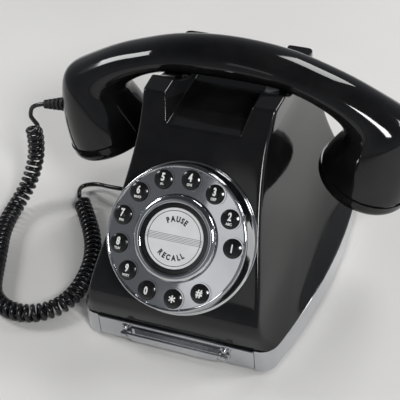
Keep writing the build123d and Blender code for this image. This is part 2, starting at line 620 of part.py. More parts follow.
arch.append((end_x, end_z, HANDLE_END_TURN, HANDLE_END_HALF_HEIGHT - 1.5, HANDLE_END_HALF_WIDTH))
left_half = [handle_section(-x, z, -turn, hh, hw) for x, z, turn, hh, hw in reversed(arch[1:])]
handle_sections = left_half + [handle_section(*station) for station in arch]
handset = loft(handle_sections)

cup_profile = [(CUP_RADIUS, CAP_HEIGHT), (CUP_RADIUS - 1.3, 20.0), (CUP_RADIUS - 4.6, 30.0),
               (CUP_RADIUS - 10.0, 40.0), (CUP_RADIUS - 15.0, 47.0), (CUP_RADIUS - 21.5, 52.0)]
cup = make_face([
    Line((0, CAP_HEIGHT), cup_profile[0]),
    Spline(*cup_profile, (0, CUP_LENGTH), tangents=[(0, 1), (-1, 0)]),
    Line((0, CUP_LENGTH), (0, CAP_HEIGHT)),
])
cup = revolve(Plane.XZ * cup, Axis.Z)
spigot_outer = CAP_RADIUS - CAP_WALL - CAP_CLEAR
spigot_inner = spigot_outer - SPIGOT_WALL
spigot = Cylinder(spigot_outer, SPIGOT_LENGTH, align=(Align.CENTER, Align.CENTER, Align.MAX))
bore = Cylinder(spigot_inner, CUP_BORE_DEPTH, align=(Align.CENTER, Align.CENTER, Align.MIN))
left_side = Pos(-HANDLE_END_X, back(HANDSET_DEPTH), HANDLE_TOP_HEIGHT) * Box(
    2 * HANDLE_END_X, 4 * CUP_RADIUS, 4 * HANDLE_TOP_HEIGHT)
left_frame = cup_frame(-1).location
half = (handset & left_side) + left_frame * cup + left_frame * Pos(0, 0, CAP_HEIGHT) * spigot
half -= left_frame * Pos(0, 0, CAP_HEIGHT - SPIGOT_LENGTH) * bore
handset = half + mirror(half, about=Plane.YZ)

# Strain relief: a ribbed rubber sleeve out of the left end, its shank in a hole of the shell
dip = math.radians(RELIEF_DIP)
relief_frame = Plane(origin=(-RELIEF_X, back(HANDSET_DEPTH), RELIEF_HEIGHT), x_dir=(0, 1, 0),
                     z_dir=(-math.cos(dip), 0, -math.sin(dip)))
SHANK_LENGTH = 8.0
shank_radius = RELIEF_TIP_RADIUS
handset -= relief_frame.location * Cylinder(shank_radius + SEAT_CLEAR, 4 * SHANK_LENGTH)
save(handset, "handset_shell")

rib_pitch = RELIEF_LENGTH / RELIEF_RIBS
sleeve = Pos(0, 0, -SHANK_LENGTH) * Cylinder(shank_radius, SHANK_LENGTH + 1.5,
                                             align=(Align.CENTER, Align.CENTER, Align.MIN))
core = Cone(RELIEF_ROOT_RADIUS - 1.0, RELIEF_TIP_RADIUS - 0.6, RELIEF_LENGTH - 1.5,
            align=(Align.CENTER, Align.CENTER, Align.MIN))
sleeve += Pos(0, 0, 1.5) * core
for i in range(RELIEF_RIBS):
    radius = RELIEF_ROOT_RADIUS + (RELIEF_TIP_RADIUS - RELIEF_ROOT_RADIUS) * i / (RELIEF_RIBS - 1)
    rib = Cylinder(radius, rib_pitch * 0.55, align=(Align.CENTER, Align.CENTER, Align.MIN))
    sleeve += Pos(0, 0, 1.5 + i * (RELIEF_LENGTH - 1.5 - rib_pitch * 0.55) / (RELIEF_RIBS - 1)) * rib
save(relief_frame.location * sleeve, "strain_relief")

# Screw caps of the two cups, with their sound holes, and the capsules behind them
cap = Cylinder(CAP_RADIUS, CAP_HEIGHT - CAP_CLEAR, align=(Align.CENTER, Align.CENTER, Align.MIN))
cap = fillet(cap.edges().sort_by(Axis.Z)[0], CAP_ROUND)
cap_bore = Cylinder(CAP_RADIUS - CAP_WALL, CAP_HEIGHT, align=(Align.CENTER, Align.CENTER, Align.MIN))
cap -= Pos(0, 0, CAP_WALL) * cap_bore
sound_hole = Cylinder(CAP_HOLE_RADIUS, 4 * CAP_WALL)
for count, radius in ((1, 0.0), (6, 7.0), (12, 14.0)):
    for i in range(count):
        angle = 2 * math.pi * i / count
        cap -= Pos(radius * math.cos(angle), radius * math.sin(angle), 0) * sound_hole
save(cup_frame(1).location * cap, "ear_cap")
save(cup_frame(-1).location * cap, "mouth_cap")
capsule = Cylinder(CAPSULE_RADIUS, CAPSULE_HEIGHT, align=(Align.CENTER, Align.CENTER, Align.MIN))
capsule = Pos(0, 0, CAP_WALL + CAP_CLEAR) * capsule
save(cup_frame(1).location * capsule, "receiver_capsule")
save(cup_frame(-1).location * capsule, "microphone_capsule")

# Hook: two plungers up through the cradle arms on one bar, over the hook switch on its stand
plunger_top = handle_axis(PLUNGER_X + PLUNGER_RADIUS) - HANDLE_MID_HALF_HEIGHT - CRADLE_CLEAR - 0.4
bar_top = CEILING - PLUNGER_TRAVEL - 1.0
bar_bottom = bar_top - HOOK_BAR_THICK
bar_half = PLUNGER_X + HOOK_BAR_LAP
hook = block(-bar_half, bar_half, HANDSET_DEPTH - HOOK_BAR_WIDTH / 2, HANDSET_DEPTH + HOOK_BAR_WIDTH / 2,
             bar_bottom, bar_top)
for s in (-1, 1):
    hook += rod(s * PLUNGER_X, HANDSET_DEPTH, bar_bottom, plunger_top, PLUNGER_RADIUS)
save(hook, "hook_plunger")

HOOK_SWITCH_HALF_WIDTH = 10.0
HOOK_SWITCH_DEPTH = 7.0
STAND_THICK = 1.5
STAND_HALF_WIDTH = 14.0
STAND_FOOT_LENGTH = 16.0
switch_crown = bar_bottom - SEAT_CLEAR
stand_top = switch_crown - HOOK_SWITCH_HEIGHT
hook_switch = block(-HOOK_SWITCH_HALF_WIDTH, HOOK_SWITCH_HALF_WIDTH, HANDSET_DEPTH - HOOK_SWITCH_DEPTH / 2,
                    HANDSET_DEPTH + HOOK_SWITCH_DEPTH / 2, stand_top, switch_crown)
save(hook_switch, "hook_switch")

stand_front = HANDSET_DEPTH + HOOK_SWITCH_DEPTH / 2
hook_stand = block(-STAND_HALF_WIDTH, STAND_HALF_WIDTH, stand_front, stand_front + STAND_THICK, BAND_TOP, stand_top)
hook_stand += block(-STAND_HALF_WIDTH, STAND_HALF_WIDTH, stand_front, stand_front + STAND_FOOT_LENGTH,
                    BAND_TOP, BAND_TOP + STAND_THICK)
hook_stand += block(-STAND_HALF_WIDTH, STAND_HALF_WIDTH, stand_front - HOOK_SWITCH_DEPTH,
                    stand_front + STAND_THICK, stand_top - STAND_THICK, stand_top)
save(hook_stand, "hook_stand")

# Main board on four stand-offs, and the ringer's sounder, on the deck
MAIN_HALF_WIDTH = 42.0
MAIN_FRONT_DEPTH = 34.0
MAIN_REAR_DEPTH = 100.0
MAIN_STAND = 5.0
STANDOFF_RADIUS = 2.5
STANDOFF_INSET = 5.0
CHIP_HEIGHT = 3.0
board_z = BAND_TOP + MAIN_STAND
main_board = block(-MAIN_HALF_WIDTH, MAIN_HALF_WIDTH, MAIN_FRONT_DEPTH, MAIN_REAR_DEPTH,
                   board_z, board_z + BOARD_THICK)
main_board += block(-14, 4, 52, 66, board_z + BOARD_THICK, board_z + BOARD_THICK + CHIP_HEIGHT)
main_board += block(16, 30, 74, 92, board_z + BOARD_THICK, board_z + BOARD_THICK + 3 * CHIP_HEIGHT)
main_board += block(-36, -24, 70, 92, board_z + BOARD_THICK, board_z + BOARD_THICK + 2 * CHIP_HEIGHT)
save(main_board, "main_board")
standoffs = [rod(s * (MAIN_HALF_WIDTH - STANDOFF_INSET), depth, BAND_TOP, board_z, STANDOFF_RADIUS)
             for s in (-1, 1) for depth in (MAIN_FRONT_DEPTH + STANDOFF_INSET, MAIN_REAR_DEPTH - STANDOFF_INSET)]
save(group(*standoffs), "board_standoffs")

SOUNDER_RADIUS = 14.0
SOUNDER_HEIGHT = 9.0
SOUNDER_X = 34.0
SOUNDER_DEPTH = 142.0
save(rod(SOUNDER_X, SOUNDER_DEPTH, BAND_TOP, BAND_TOP + SOUNDER_HEIGHT, SOUNDER_RADIUS), "ringer_sounder")

# Jacks: the handset's on the left side, the line's at the back, each a block with a square socket
def jack(length):
    """Socket block: its mouth at local +X, at the origin."""
    shell = Box(length, 2 * JACK_HALF_WIDTH - 2 * SEAT_CLEAR, 2 * JACK_HALF_HEIGHT - 2 * SEAT_CLEAR,
                align=(Align.MAX, Align.CENTER, Align.CENTER))
    socket = Box(length - 3, 2 * PLUG_HALF_WIDTH + 2 * SEAT_CLEAR, 2 * PLUG_HALF_HEIGHT + 2 * SEAT_CLEAR,
                 align=(Align.MAX, Align.CENTER, Align.CENTER))
    return shell - socket


JACK_MOUTH_X = BASE_HALF_MIDDLE - 0.6
save(Pos(-JACK_MOUTH_X, back(JACK_DEPTH), JACK_HEIGHT) * Rot(0, 0, 180) * jack(JACK_LENGTH), "handset_jack")
save(Pos(LINE_JACK_X, back(BASE_DEPTH - 0.4), JACK_HEIGHT) * Rot(0, 0, 90) * jack(JACK_LENGTH), "line_jack")
jack_floor = JACK_HEIGHT - JACK_HALF_HEIGHT + SEAT_CLEAR
JACK_SEAT_HALF = 4.0
seats = [
    block(-JACK_MOUTH_X + 4, -JACK_MOUTH_X + JACK_LENGTH, JACK_DEPTH - JACK_SEAT_HALF,
          JACK_DEPTH + JACK_SEAT_HALF, FLOOR_TOP, jack_floor),
    block(LINE_JACK_X - JACK_SEAT_HALF, LINE_JACK_X + JACK_SEAT_HALF, BASE_DEPTH - JACK_LENGTH,
          BASE_DEPTH - 4, FLOOR_TOP, jack_floor),
]
save(group(*seats), "jack_seats")

# Rear slide switches: a body behind the band and a knob in its slot
SWITCH_BODY_HALF = 8.0
SWITCH_BODY_DEPTH = 7.0
switch_face = BASE_DEPTH - BAND_WALL - SEAT_CLEAR - 0.4
bodies = []
for node, x, travel in knob_places:
    body = block(x - SWITCH_BODY_HALF, x + SWITCH_BODY_HALF, switch_face - SWITCH_BODY_DEPTH, switch_face,
                 FLOOR_TOP, JACK_HEIGHT + JACK_HALF_HEIGHT)
    bodies.append(body)
    knob = block(x - KNOB_HALF_WIDTH, x + KNOB_HALF_WIDTH, switch_face + SEAT_CLEAR, BASE_DEPTH + KNOB_REACH,
                 JACK_HEIGHT - KNOB_HALF_HEIGHT, JACK_HEIGHT + KNOB_HALF_HEIGHT)
    save(knob, node)
save(group(*bodies), "switch_bodies")

# Cord: the route's points as X, depth and height, from the handset's sleeve to the plug
sleeve_tip = relief_frame.location * Pos(0, 0, RELIEF_LENGTH)
tip = sleeve_tip.position
tip_dir = relief_frame.z_dir
CURL_HEIGHT = CURL_RADIUS + WIRE_RADIUS + 0.3
LOOP_X = -106.0
LOOP_DEPTH = 25.0
LOOP_RADIUS = 29.0
LOOP_STEP = 27.0


def loop_point(step):
    """Point of the cord's open loop on the table, beside the front of the base."""
    angle = math.radians(192.0 + LOOP_STEP * step)
    return Vector(LOOP_X + LOOP_RADIUS * math.cos(angle), back(LOOP_DEPTH + LOOP_RADIUS * math.sin(angle)),
                  CURL_HEIGHT)


lead_points = [
    tip,
    tip + 10.0 * tip_dir,
    Vector(-146.5, back(HANDSET_DEPTH), 66.5),
    Vector(-146.0, back(HANDSET_DEPTH), 56.0),
]
curl_points = [
    lead_points[-1],
    lead_points[-1] + 10.0 * (lead_points[-1] - lead_points[-2]).normalized(),
    Vector(-146.5, back(HANDSET_DEPTH - 3.0), 31.0),
    Vector(-149.5, back(HANDSET_DEPTH - 13.0), 16.0),
    Vector(-153.0, back(HANDSET_DEPTH - 26.0), CURL_HEIGHT + 1.5),
    Vector(-153.0, back(74.0), CURL_HEIGHT),
    Vector(-149.5, back(58.0), CURL_HEIGHT),
    Vector(-142.5, back(41.0), CURL_HEIGHT),
    *[loop_point(step) for step in range(7)],
    Vector(-77.0, back(36.0), CURL_HEIGHT),
    Vector(-79.0, back(50.0), CURL_HEIGHT),
    Vector(-84.0, back(64.0), CURL_HEIGHT),
    Vector(-92.0, back(78.0), CURL_HEIGHT),
    Vector(-101.5, back(91.0), CURL_HEIGHT),
    Vector(-111.0, back(103.0), CURL_HEIGHT),
]
PLUG_LENGTH = 14.0
PLUG_STAND = 4.5
plug_end = Vector(-JACK_MOUTH_X - PLUG_STAND, back(JACK_DEPTH), JACK_HEIGHT)
tail_points = [
    curl_points[-1],
    curl_points[-1] + 11.5 * (curl_points[-1] - curl_points[-2]).normalized(),
    Vector(-118.5, back(124.5), 4.4),
    Vector(-108.0, back(130.0), 4.8),
    Vector(-97.0, back(JACK_DEPTH + 4.0), 8.4),
    plug_end + Vector(-7.0, 0, 0),
    plug_end,
]


def cord_path(points, name):
    """Straight runs joined by the largest tangent arcs that they allow."""
    radii = []
    for p, q, r in zip(points, points[1:], points[2:]):
        turn = (q - p).get_angle(r - q)
        radii.append(0.45 * min((q - p).length, (r - q).length) / math.tan(math.radians(turn) / 2))
    print(name, "arc radii", [round(radius, 1) for radius in radii])
    return FilletPolyline(*points, radius=radii)


def cord_tube(points, name):
    """Plain round tube along a route."""
    path = cord_path(points, name)
    start = Plane(origin=path @ 0, z_dir=path % 0)
    tube = sweep(start * Circle(WIRE_RADIUS), path=path)
    print(name, "length", round(path.length, 1), "volume over section times length",
          round(tube.volume / (math.pi * WIRE_RADIUS ** 2 * path.length), 4))
    return tube


def curly_tube(points, name):
    """One unbroken tube that curls about a route, straight for one wire diameter at both ends."""
    path = cord_path(points, name)
    length = path.length
    straight = 2 * WIRE_RADIUS
    turns = round((length - 2 * straight) / CURL_PITCH)
    steps = 4 * turns
    normal = (path % 0).cross(Vector(0, 1, 0)).normalized()
    previous = path % 0
    nodes = []
    for i in range(steps + 1):
        s = straight + (length - 2 * straight) * i / steps
        tangent = path % (s / length)
        axis = previous.cross(tangent)
        if axis.length > 1e-9:
            normal = normal.rotate(Axis((0, 0, 0), axis), previous.get_angle(tangent))
        normal = (normal - tangent * normal.dot(tangent)).normalized()
        previous = tangent
        ramp = min(1.0, i / 5.0, (steps - i) / 5.0)
        ramp = ramp * ramp * (3 - 2 * ramp)
        side = tangent.cross(normal)
        angle = math.pi / 2 * i
        swing = normal * math.cos(angle) + side * math.sin(angle)
        nodes.append((path @ (s / length)) + swing * (CURL_RADIUS * ramp))
    tangents = [path % 0]
    for before, after in zip(nodes, nodes[2:]):
        tangents.append((after - before).normalized())
    tangents.append(path % 1)
    edges = [Line(path @ 0, nodes[0])]
    points_on = [path @ 0]
    for p, q, t, u in zip(nodes, nodes[1:], tangents, tangents[1:]):
        v = q - p
        w = t + u
        k = 2 * (1 - t.dot(u))
        reach = (-v.dot(w) + math.sqrt(v.dot(w) ** 2 + k * v.dot(v))) / k if k > 1e-9 else v.length / 2
        joint = (p + t * reach + q - u * reach) / 2
        edges.append(TangentArc(p, joint, tangent=t) if k > 1e-9 else Line(p, joint))
        mid_dir = edges[-1] % 1
        edges.append(TangentArc(joint, q, tangent=mid_dir) if k > 1e-9 else Line(joint, q))
    edges.append(Line(nodes[-1], path @ 1))
    wire = Wire(edges)
    for edge in edges:
        for j in range(4):
            points_on.append(edge @ (j / 4))
    start = Plane(origin=path @ 0, z_dir=path % 0)
    tube = sweep(start * Circle(WIRE_RADIUS), path=wire)
    far = 8 * 3
    least = min((points_on[i] - points_on[j]).length for i in range(len(points_on))
                for j in range(i + far, min(i + far * 4, len(points_on))))
    print(name, "turns", turns, "wire length", round(wire.length, 1), "route", round(length, 1),
          "least gap to itself", round(least - 2 * WIRE_RADIUS, 2), "valid", tube.is_valid)
    return tube


save(cord_tube(lead_points, "cord_lead"), "cord_lead")
save(curly_tube(curl_points, "curly_cord"), "curly_cord")
save(cord_tube(tail_points, "cord_tail"), "cord_tail")

plug = Box(PLUG_LENGTH, 2 * PLUG_HALF_WIDTH, 2 * PLUG_HALF_HEIGHT, align=(Align.MIN, Align.CENTER, Align.CENTER))
save(Pos(*plug_end) * plug, "cord_plug")
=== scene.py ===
"""Retro desk telephone, dressed on its solids: gloss black mouldings, bright chrome and a curly cord."""
import math

import bmesh
import bpy
from mathutils import Matrix, Vector


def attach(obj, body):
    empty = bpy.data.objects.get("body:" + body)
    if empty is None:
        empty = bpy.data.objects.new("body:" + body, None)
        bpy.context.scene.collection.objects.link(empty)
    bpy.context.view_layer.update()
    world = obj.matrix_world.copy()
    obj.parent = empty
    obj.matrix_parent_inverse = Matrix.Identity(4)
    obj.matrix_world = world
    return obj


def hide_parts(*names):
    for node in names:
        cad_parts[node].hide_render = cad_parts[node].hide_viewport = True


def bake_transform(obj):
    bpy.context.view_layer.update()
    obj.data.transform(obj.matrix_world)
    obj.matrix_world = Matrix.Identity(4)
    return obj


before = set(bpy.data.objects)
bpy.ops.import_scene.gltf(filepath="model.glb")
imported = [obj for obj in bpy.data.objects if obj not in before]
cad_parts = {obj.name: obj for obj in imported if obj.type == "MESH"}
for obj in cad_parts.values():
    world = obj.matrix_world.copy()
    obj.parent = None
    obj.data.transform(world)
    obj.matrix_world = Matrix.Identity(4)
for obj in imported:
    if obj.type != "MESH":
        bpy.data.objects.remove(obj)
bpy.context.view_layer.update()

# Studio: a pale table top under plain soft boxes, with the camera where the photograph was taken,
# a little right of the front, looking down on the set and rolled slightly.
FLOOR_SIZE = 6.0
CAMERA_TURN = math.radians(23.998)
CAMERA_RISE = math.radians(40.986)
CAMERA_ROLL = math.radians(-5.0)
CAMERA_DISTANCE = 0.589276
CAMERA_TARGET = Vector((0.017586, -0.069763, 0.114694))
FOCAL_PIXELS = 1100.0
PHOTO_PIXELS = 400.0
SENSOR_WIDTH = 36.0
ROOM_WALL = (0.30, 0.31, 0.33)
ROOM_CEILING = (0.05, 0.052, 0.056)
CEILING_FROM = 0.85
LAMP_AIM = Vector((0.0, 0.0, 0.07))
LAMPS = [
    ("front_box", (0.78, -0.78, 1.00), 0.30, 10.0),
    ("left_box", (-1.20, 0.05, 0.90), 0.42, 7.0),
    ("right_box", (1.05, 0.45, 0.85), 0.34, 5.0),
    ("back_box", (0.32, 1.15, 1.25), 0.50, 7.0),
    ("dial_box", (-0.20, -0.93, 0.68), 0.24, 0.13),
]
NOISE_SPREAD = (0.35, 0.65)
TONE_DETAIL = 4.0
GRAIN_DETAIL = 2.0
GRAIN_STRENGTH = 0.3

scene = bpy.context.scene
scene.view_settings.view_transform = "Standard"


def add_piece(name, mesh, material, smooth=True):
    """Object at the origin for a finished bmesh, its place already in the mesh."""
    data = bpy.data.meshes.new(name)
    mesh.to_mesh(data)
    mesh.free()
    for face in data.polygons:
        face.use_smooth = smooth
    data.materials.append(material)
    piece = bpy.data.objects.new(name, data)
    scene.collection.objects.link(piece)
    return piece


def patchy(tree, size, detail):
    """Noise on Object coordinates with patches of a size in metres; returns its value."""
    coordinates = tree.nodes.new("ShaderNodeTexCoord")
    noise = tree.nodes.new("ShaderNodeTexNoise")
    noise.inputs["Scale"].default_value = 1.0 / size
    noise.inputs["Detail"].default_value = detail
    tree.links.new(coordinates.outputs["Object"], noise.inputs["Vector"])
    return noise.outputs["Fac"]


def between(tree, value, low, high):
    """Spreads the middle of a noise over a range."""
    spread = tree.nodes.new("ShaderNodeMapRange")
    for socket, amount in zip(("From Min", "From Max", "To Min", "To Max"), (*NOISE_SPREAD, low, high)):
        spread.inputs[socket].default_value = amount
    tree.links.new(value, spread.inputs["Value"])
    return spread.outputs["Result"]


def shade(ramp, places, tones):
    """Sets the two stops of a colour ramp."""
    for stop, place, tone in zip(ramp.color_ramp.elements, places, tones):
        stop.position = place
        stop.color = (*tone, 1.0)


def surface(name, dark, light, tone_size, rough, rough_size, grain_size, grain_depth, metallic=0.0, coat=0.0,
            index=1.5):
    """One finish: two tones in patches, an uneven gloss and a fine relief."""
    material = bpy.data.materials.new(name)
    material.use_nodes = True
    tree = material.node_tree
    shader = tree.nodes["Principled BSDF"]
    tones = tree.nodes.new("ShaderNodeValToRGB")
    shade(tones, NOISE_SPREAD, (dark, light))
    tree.links.new(patchy(tree, tone_size, TONE_DETAIL), tones.inputs["Fac"])
    tree.links.new(tones.outputs["Color"], shader.inputs["Base Color"])
    gloss = between(tree, patchy(tree, rough_size, TONE_DETAIL), *rough)
    tree.links.new(gloss, shader.inputs["Roughness"])
    relief = tree.nodes.new("ShaderNodeBump")
    relief.inputs["Strength"].default_value = GRAIN_STRENGTH
    relief.inputs["Distance"].default_value = grain_depth
    tree.links.new(patchy(tree, grain_size, GRAIN_DETAIL), relief.inputs["Height"])
    tree.links.new(relief.outputs["Normal"], shader.inputs["Normal"])
    shader.inputs["Metallic"].default_value = metallic
    shader.inputs["Coat Weight"].default_value = coat
    shader.inputs["IOR"].default_value = index
    return material


pale_table = surface("pale_table", dark=(0.78, 0.77, 0.75), light=(0.82, 0.81, 0.79), tone_size=0.25,
                     rough=(0.5, 0.65), rough_size=0.1, grain_size=0.004, grain_depth=0.0002)
floor_mesh = bmesh.new()
bmesh.ops.create_grid(floor_mesh, x_segments=2, y_segments=2, size=FLOOR_SIZE / 2)
floor = add_piece("table_top", floor_mesh, pale_table)

room = bpy.data.worlds.new("soft_room")
scene.world = room
room.use_nodes = True
sky_tree = room.node_tree
sky_place = sky_tree.nodes.new("ShaderNodeTexCoord")
sky_parts = sky_tree.nodes.new("ShaderNodeSeparateXYZ")
sky_tones = sky_tree.nodes.new("ShaderNodeValToRGB")
shade(sky_tones, (0.0, CEILING_FROM), (ROOM_WALL, ROOM_CEILING))
sky_tree.links.new(sky_place.outputs["Generated"], sky_parts.inputs["Vector"])
sky_tree.links.new(sky_parts.outputs["Z"], sky_tones.inputs["Fac"])
sky_tree.links.new(sky_tones.outputs["Color"], sky_tree.nodes["Background"].inputs["Color"])

for lamp_name, lamp_place, lamp_width, lamp_watts in LAMPS:
    lamp = bpy.data.lights.new(lamp_name, "AREA")
    lamp.shape = "SQUARE"
    lamp.size = lamp_width
    lamp.energy = lamp_watts
    holder = bpy.data.objects.new(lamp_name, lamp)
    scene.collection.objects.link(holder)
    holder.location = lamp_place
    holder.rotation_euler = (LAMP_AIM - Vector(lamp_place)).to_track_quat("-Z", "Y").to_euler()

toward = Vector((math.sin(CAMERA_TURN) * math.cos(CAMERA_RISE),
                 -math.cos(CAMERA_TURN) * math.cos(CAMERA_RISE), math.sin(CAMERA_RISE)))
level = Vector((math.cos(CAMERA_TURN), math.sin(CAMERA_TURN), 0.0))
sideways = level * math.cos(CAMERA_ROLL) + toward.cross(level) * math.sin(CAMERA_ROLL)
lens = bpy.data.cameras.new("photo_camera")
lens.sensor_width = SENSOR_WIDTH
lens.lens = SENSOR_WIDTH * FOCAL_PIXELS / PHOTO_PIXELS
camera = bpy.data.objects.new("photo_camera", lens)
scene.collection.objects.link(camera)
camera.matrix_world = Matrix.Translation(CAMERA_TARGET + toward * CAMERA_DISTANCE) @ Matrix(
    (sideways, toward.cross(sideways), toward)).transposed().to_4x4()
scene.camera = camera

# Base: a floor and a deck of black painted sheet steel on four rubber feet, screwed from below.
# Most of it shows only from underneath or with the drawer out.


def dress(material, *nodes):
    """Gives solids of the frame their finish."""
    for node in nodes:
        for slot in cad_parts[node].material_slots:
            slot.material = material


steel_paint = surface("black_paint", dark=(0.014, 0.014, 0.014), light=(0.024, 0.024, 0.024), tone_size=0.03,
                      rough=(0.38, 0.55), rough_size=0.01, grain_size=0.0009, grain_depth=0.0001)
rubber = surface("soft_rubber", dark=(0.012, 0.012, 0.012), light=(0.022, 0.022, 0.021), tone_size=0.01,
                 rough=(0.55, 0.75), rough_size=0.004, grain_size=0.0006, grain_depth=0.0002)
zinc = surface("zinc_plate", dark=(0.44, 0.43, 0.40), light=(0.60, 0.59, 0.56), tone_size=0.004,
               rough=(0.28, 0.45), rough_size=0.003, grain_size=0.0008, grain_depth=0.00008, metallic=1.0)
dress(steel_paint, "base_plate", "base_deck")
dress(rubber, "rubber_feet")
dress(zinc, "base_screws", "ballast_weight")

# Chrome band and drawer: pressed and plated sheet round the base, a plated front panel, and a swinging
# bail on two screwed plates. The tray behind the panel is a matt black moulding on two runners.
LIP_RADIUS = 0.00085
LIP_LENGTH = 0.0982
LIP_DEPTH = -0.0844
LIP_LEVEL = 0.0178
LIP_SIDES = 16
LIP_EDGE = 0.0003
chrome = surface("bright_chrome", dark=(0.50, 0.51, 0.53), light=(0.62, 0.63, 0.65), tone_size=0.05,
                 rough=(0.03, 0.10), rough_size=0.03, grain_size=0.02, grain_depth=0.00003, metallic=1.0)
matt_black = surface("matt_black", dark=(0.016, 0.016, 0.017), light=(0.028, 0.028, 0.029), tone_size=0.02,
                     rough=(0.42, 0.58), rough_size=0.01, grain_size=0.0006, grain_depth=0.0001)
dress(chrome, "base_trim", "drawer_front", "pull_plates", "pull_screws", "pull_bail")
dress(matt_black, "drawer_tray", "drawer_runners")
lip_mesh = bmesh.new()
bmesh.ops.create_circle(lip_mesh, segments=LIP_SIDES, radius=LIP_RADIUS, cap_ends=True,
                        matrix=Matrix.Rotation(math.pi / 2, 4, "Y"))
lip_run = bmesh.ops.extrude_face_region(lip_mesh, geom=lip_mesh.faces[:])["geom"]
bmesh.ops.translate(lip_mesh, verts=[g for g in lip_run if isinstance(g, bmesh.types.BMVert)],
                    vec=(LIP_LENGTH, 0.0, 0.0))
bmesh.ops.recalc_face_normals(lip_mesh, faces=lip_mesh.faces[:])
bmesh.ops.translate(lip_mesh, verts=lip_mesh.verts[:], vec=(-LIP_LENGTH / 2, LIP_DEPTH, LIP_LEVEL))
lip = add_piece("drawer_lip", lip_mesh, chrome)
lip_edge = lip.modifiers.new("edge", "BEVEL")
lip_edge.width = LIP_EDGE
lip_edge.segments = 2
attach(lip, "drawer")

# Housing: one thick gloss black moulding, flared at the foot, with a sloping face for the dial and two
# cradle arms beside a shelf. It is drawn half, section by section, in millimetres with depths from the
# front, then mirrored and given its wall.
MM = 0.001
CENTRE_DEPTH = 84.2833
FOOT_LEVEL = 19.0
SHELF_LEVEL = 119.5
BODY_LEVELS = (FOOT_LEVEL, 20.0, 23.0, 27.0, 31.0, 35.0, 38.5, 42.0, 47.0, 54.0, 64.0, 74.0, 84.0, 94.0,
               104.0, 112.0, 118.1, SHELF_LEVEL)
FLANK_LEVELS = (19.0, 28.0, 40.0, 55.0, 75.0, 95.0, 115.0, 138.0)
FLANK_FRONT = (57.7, 55.0, 52.5, 50.0, 44.5, 39.0, 35.0, 34.0)
FLANK_MIDDLE = (72.7, 65.0, 57.0, 51.0, 46.0, 42.5, 40.5, 42.0)
FLANK_REAR = (65.2, 60.0, 54.0, 49.0, 44.5, 41.5, 40.0, 41.0)
FLANK_DEPTHS = (-8.0, 104.0, 186.0)
FLANK_SHARES = (0.1, 0.165, 0.195, 0.225, 0.30, 0.40, 0.5, 0.6, 0.70, 0.77, 0.80, 0.83, 0.90, 1.0)
FRONT_ROUND = (9.0, 3.0)
REAR_ROUND = (14.0, 4.0)
ROUND_EASE = 17.0
ROUND_SHARES = (0.25, 0.5, 0.75)
FACE_DEPTH = 25.509
FACE_LEVEL = 72.264
FACE_TILT = math.radians(40.6)
APRON_DEPTH = 0.6
KNEE_LEVEL = 38.47
KNEE_ROUND = 9.0
REAR_FOOT = 176.5
REAR_DRAFT = 27.5 / 114.0
ARM_INNER = 26.6
ARM_DRAFT = 4.0
ARM_SHARES = (0.08, 0.35, 0.62, 0.86, 1.0)
ARM_TOP_PASSES = 60
FRONT_EAR_TOP = 133.0
REAR_EAR_TOP = 129.0
EAR_EDGE = 1.9
SADDLE_DEPTH = 115.28
SADDLE_RADIUS = 28.78
SADDLE_CENTRE_LEVEL = 151.9
SHELF_EDGE_SHARE = 0.05
CORNER_STATIONS = 8
CORNER_STEP = 1.25
MIRROR_GAP = 0.01
MERGE_GAP = 0.02
HOUSING_WALL = 2.5
SMOOTH_LEVELS = 2


def eased(levels, values, z):
    """Smooth curve through a table."""
    i = max(0, min(len(levels) - 2, sum(1 for level in levels if level <= z) - 1))
    slopes = []
    for k in (i, i + 1):
        a, b = max(0, k - 1), min(len(levels) - 1, k + 1)
        slopes.append((values[b] - values[a]) / (levels[b] - levels[a]))
    h = levels[i + 1] - levels[i]
    t = (z - levels[i]) / h
    return ((2 * t ** 3 - 3 * t ** 2 + 1) * values[i] + (t ** 3 - 2 * t ** 2 + t) * h * slopes[0]
            + (3 * t ** 2 - 2 * t ** 3) * values[i + 1] + (t ** 3 - t ** 2) * h * slopes[1])


def half_width(depth, z):
    """Half width of the housing, on a bow through its front, middle and rear widths."""
    widths = [eased(FLANK_LEVELS, table, z) for table in (FLANK_FRONT, FLANK_MIDDLE, FLANK_REAR)]
    total = 0.0
    for i, (d, width) in enumerate(zip(FLANK_DEPTHS, widths)):
        share = 1.0
        for k, other in enumerate(FLANK_DEPTHS):
            if k != i:
                share *= (depth - other) / (d - other)
        total += width * share
    return total


def face_depth(z):
    """Depth of the housing's front at a level: a short apron, then the sloping face."""
    slope = math.tan(FACE_TILT)
    knee = FACE_DEPTH + (KNEE_LEVEL - FACE_LEVEL) * slope
    apron_slope = (knee - APRON_DEPTH) / (KNEE_LEVEL - FOOT_LEVEL)
    past = z - KNEE_LEVEL
    if abs(past) < KNEE_ROUND:
        return knee + apron_slope * past + (slope - apron_slope) * (past + KNEE_ROUND) ** 2 / (4 * KNEE_ROUND)
    return knee + past * (slope if past > 0 else apron_slope)


def rear_depth(z):
    """Depth of the housing's back at a level."""
    return REAR_FOOT - REAR_DRAFT * (z - FOOT_LEVEL)


def saddle_level(depth):
    """Top of a cradle arm: two ears with a saddle between them."""
    ear = FRONT_EAR_TOP if depth < SADDLE_DEPTH else REAR_EAR_TOP
    reach = SADDLE_RADIUS ** 2 - (depth - SADDLE_DEPTH) ** 2
    return min(ear, SADDLE_CENTRE_LEVEL - math.sqrt(reach)) if reach > 0 else ear


def arm_inner(z):
    """Half width between the arms, which lean apart from the shelf upwards."""
    share = (FRONT_EAR_TOP - z) / (FRONT_EAR_TOP - SHELF_LEVEL)
    return ARM_INNER - ARM_DRAFT * max(0.0, min(1.0, share))


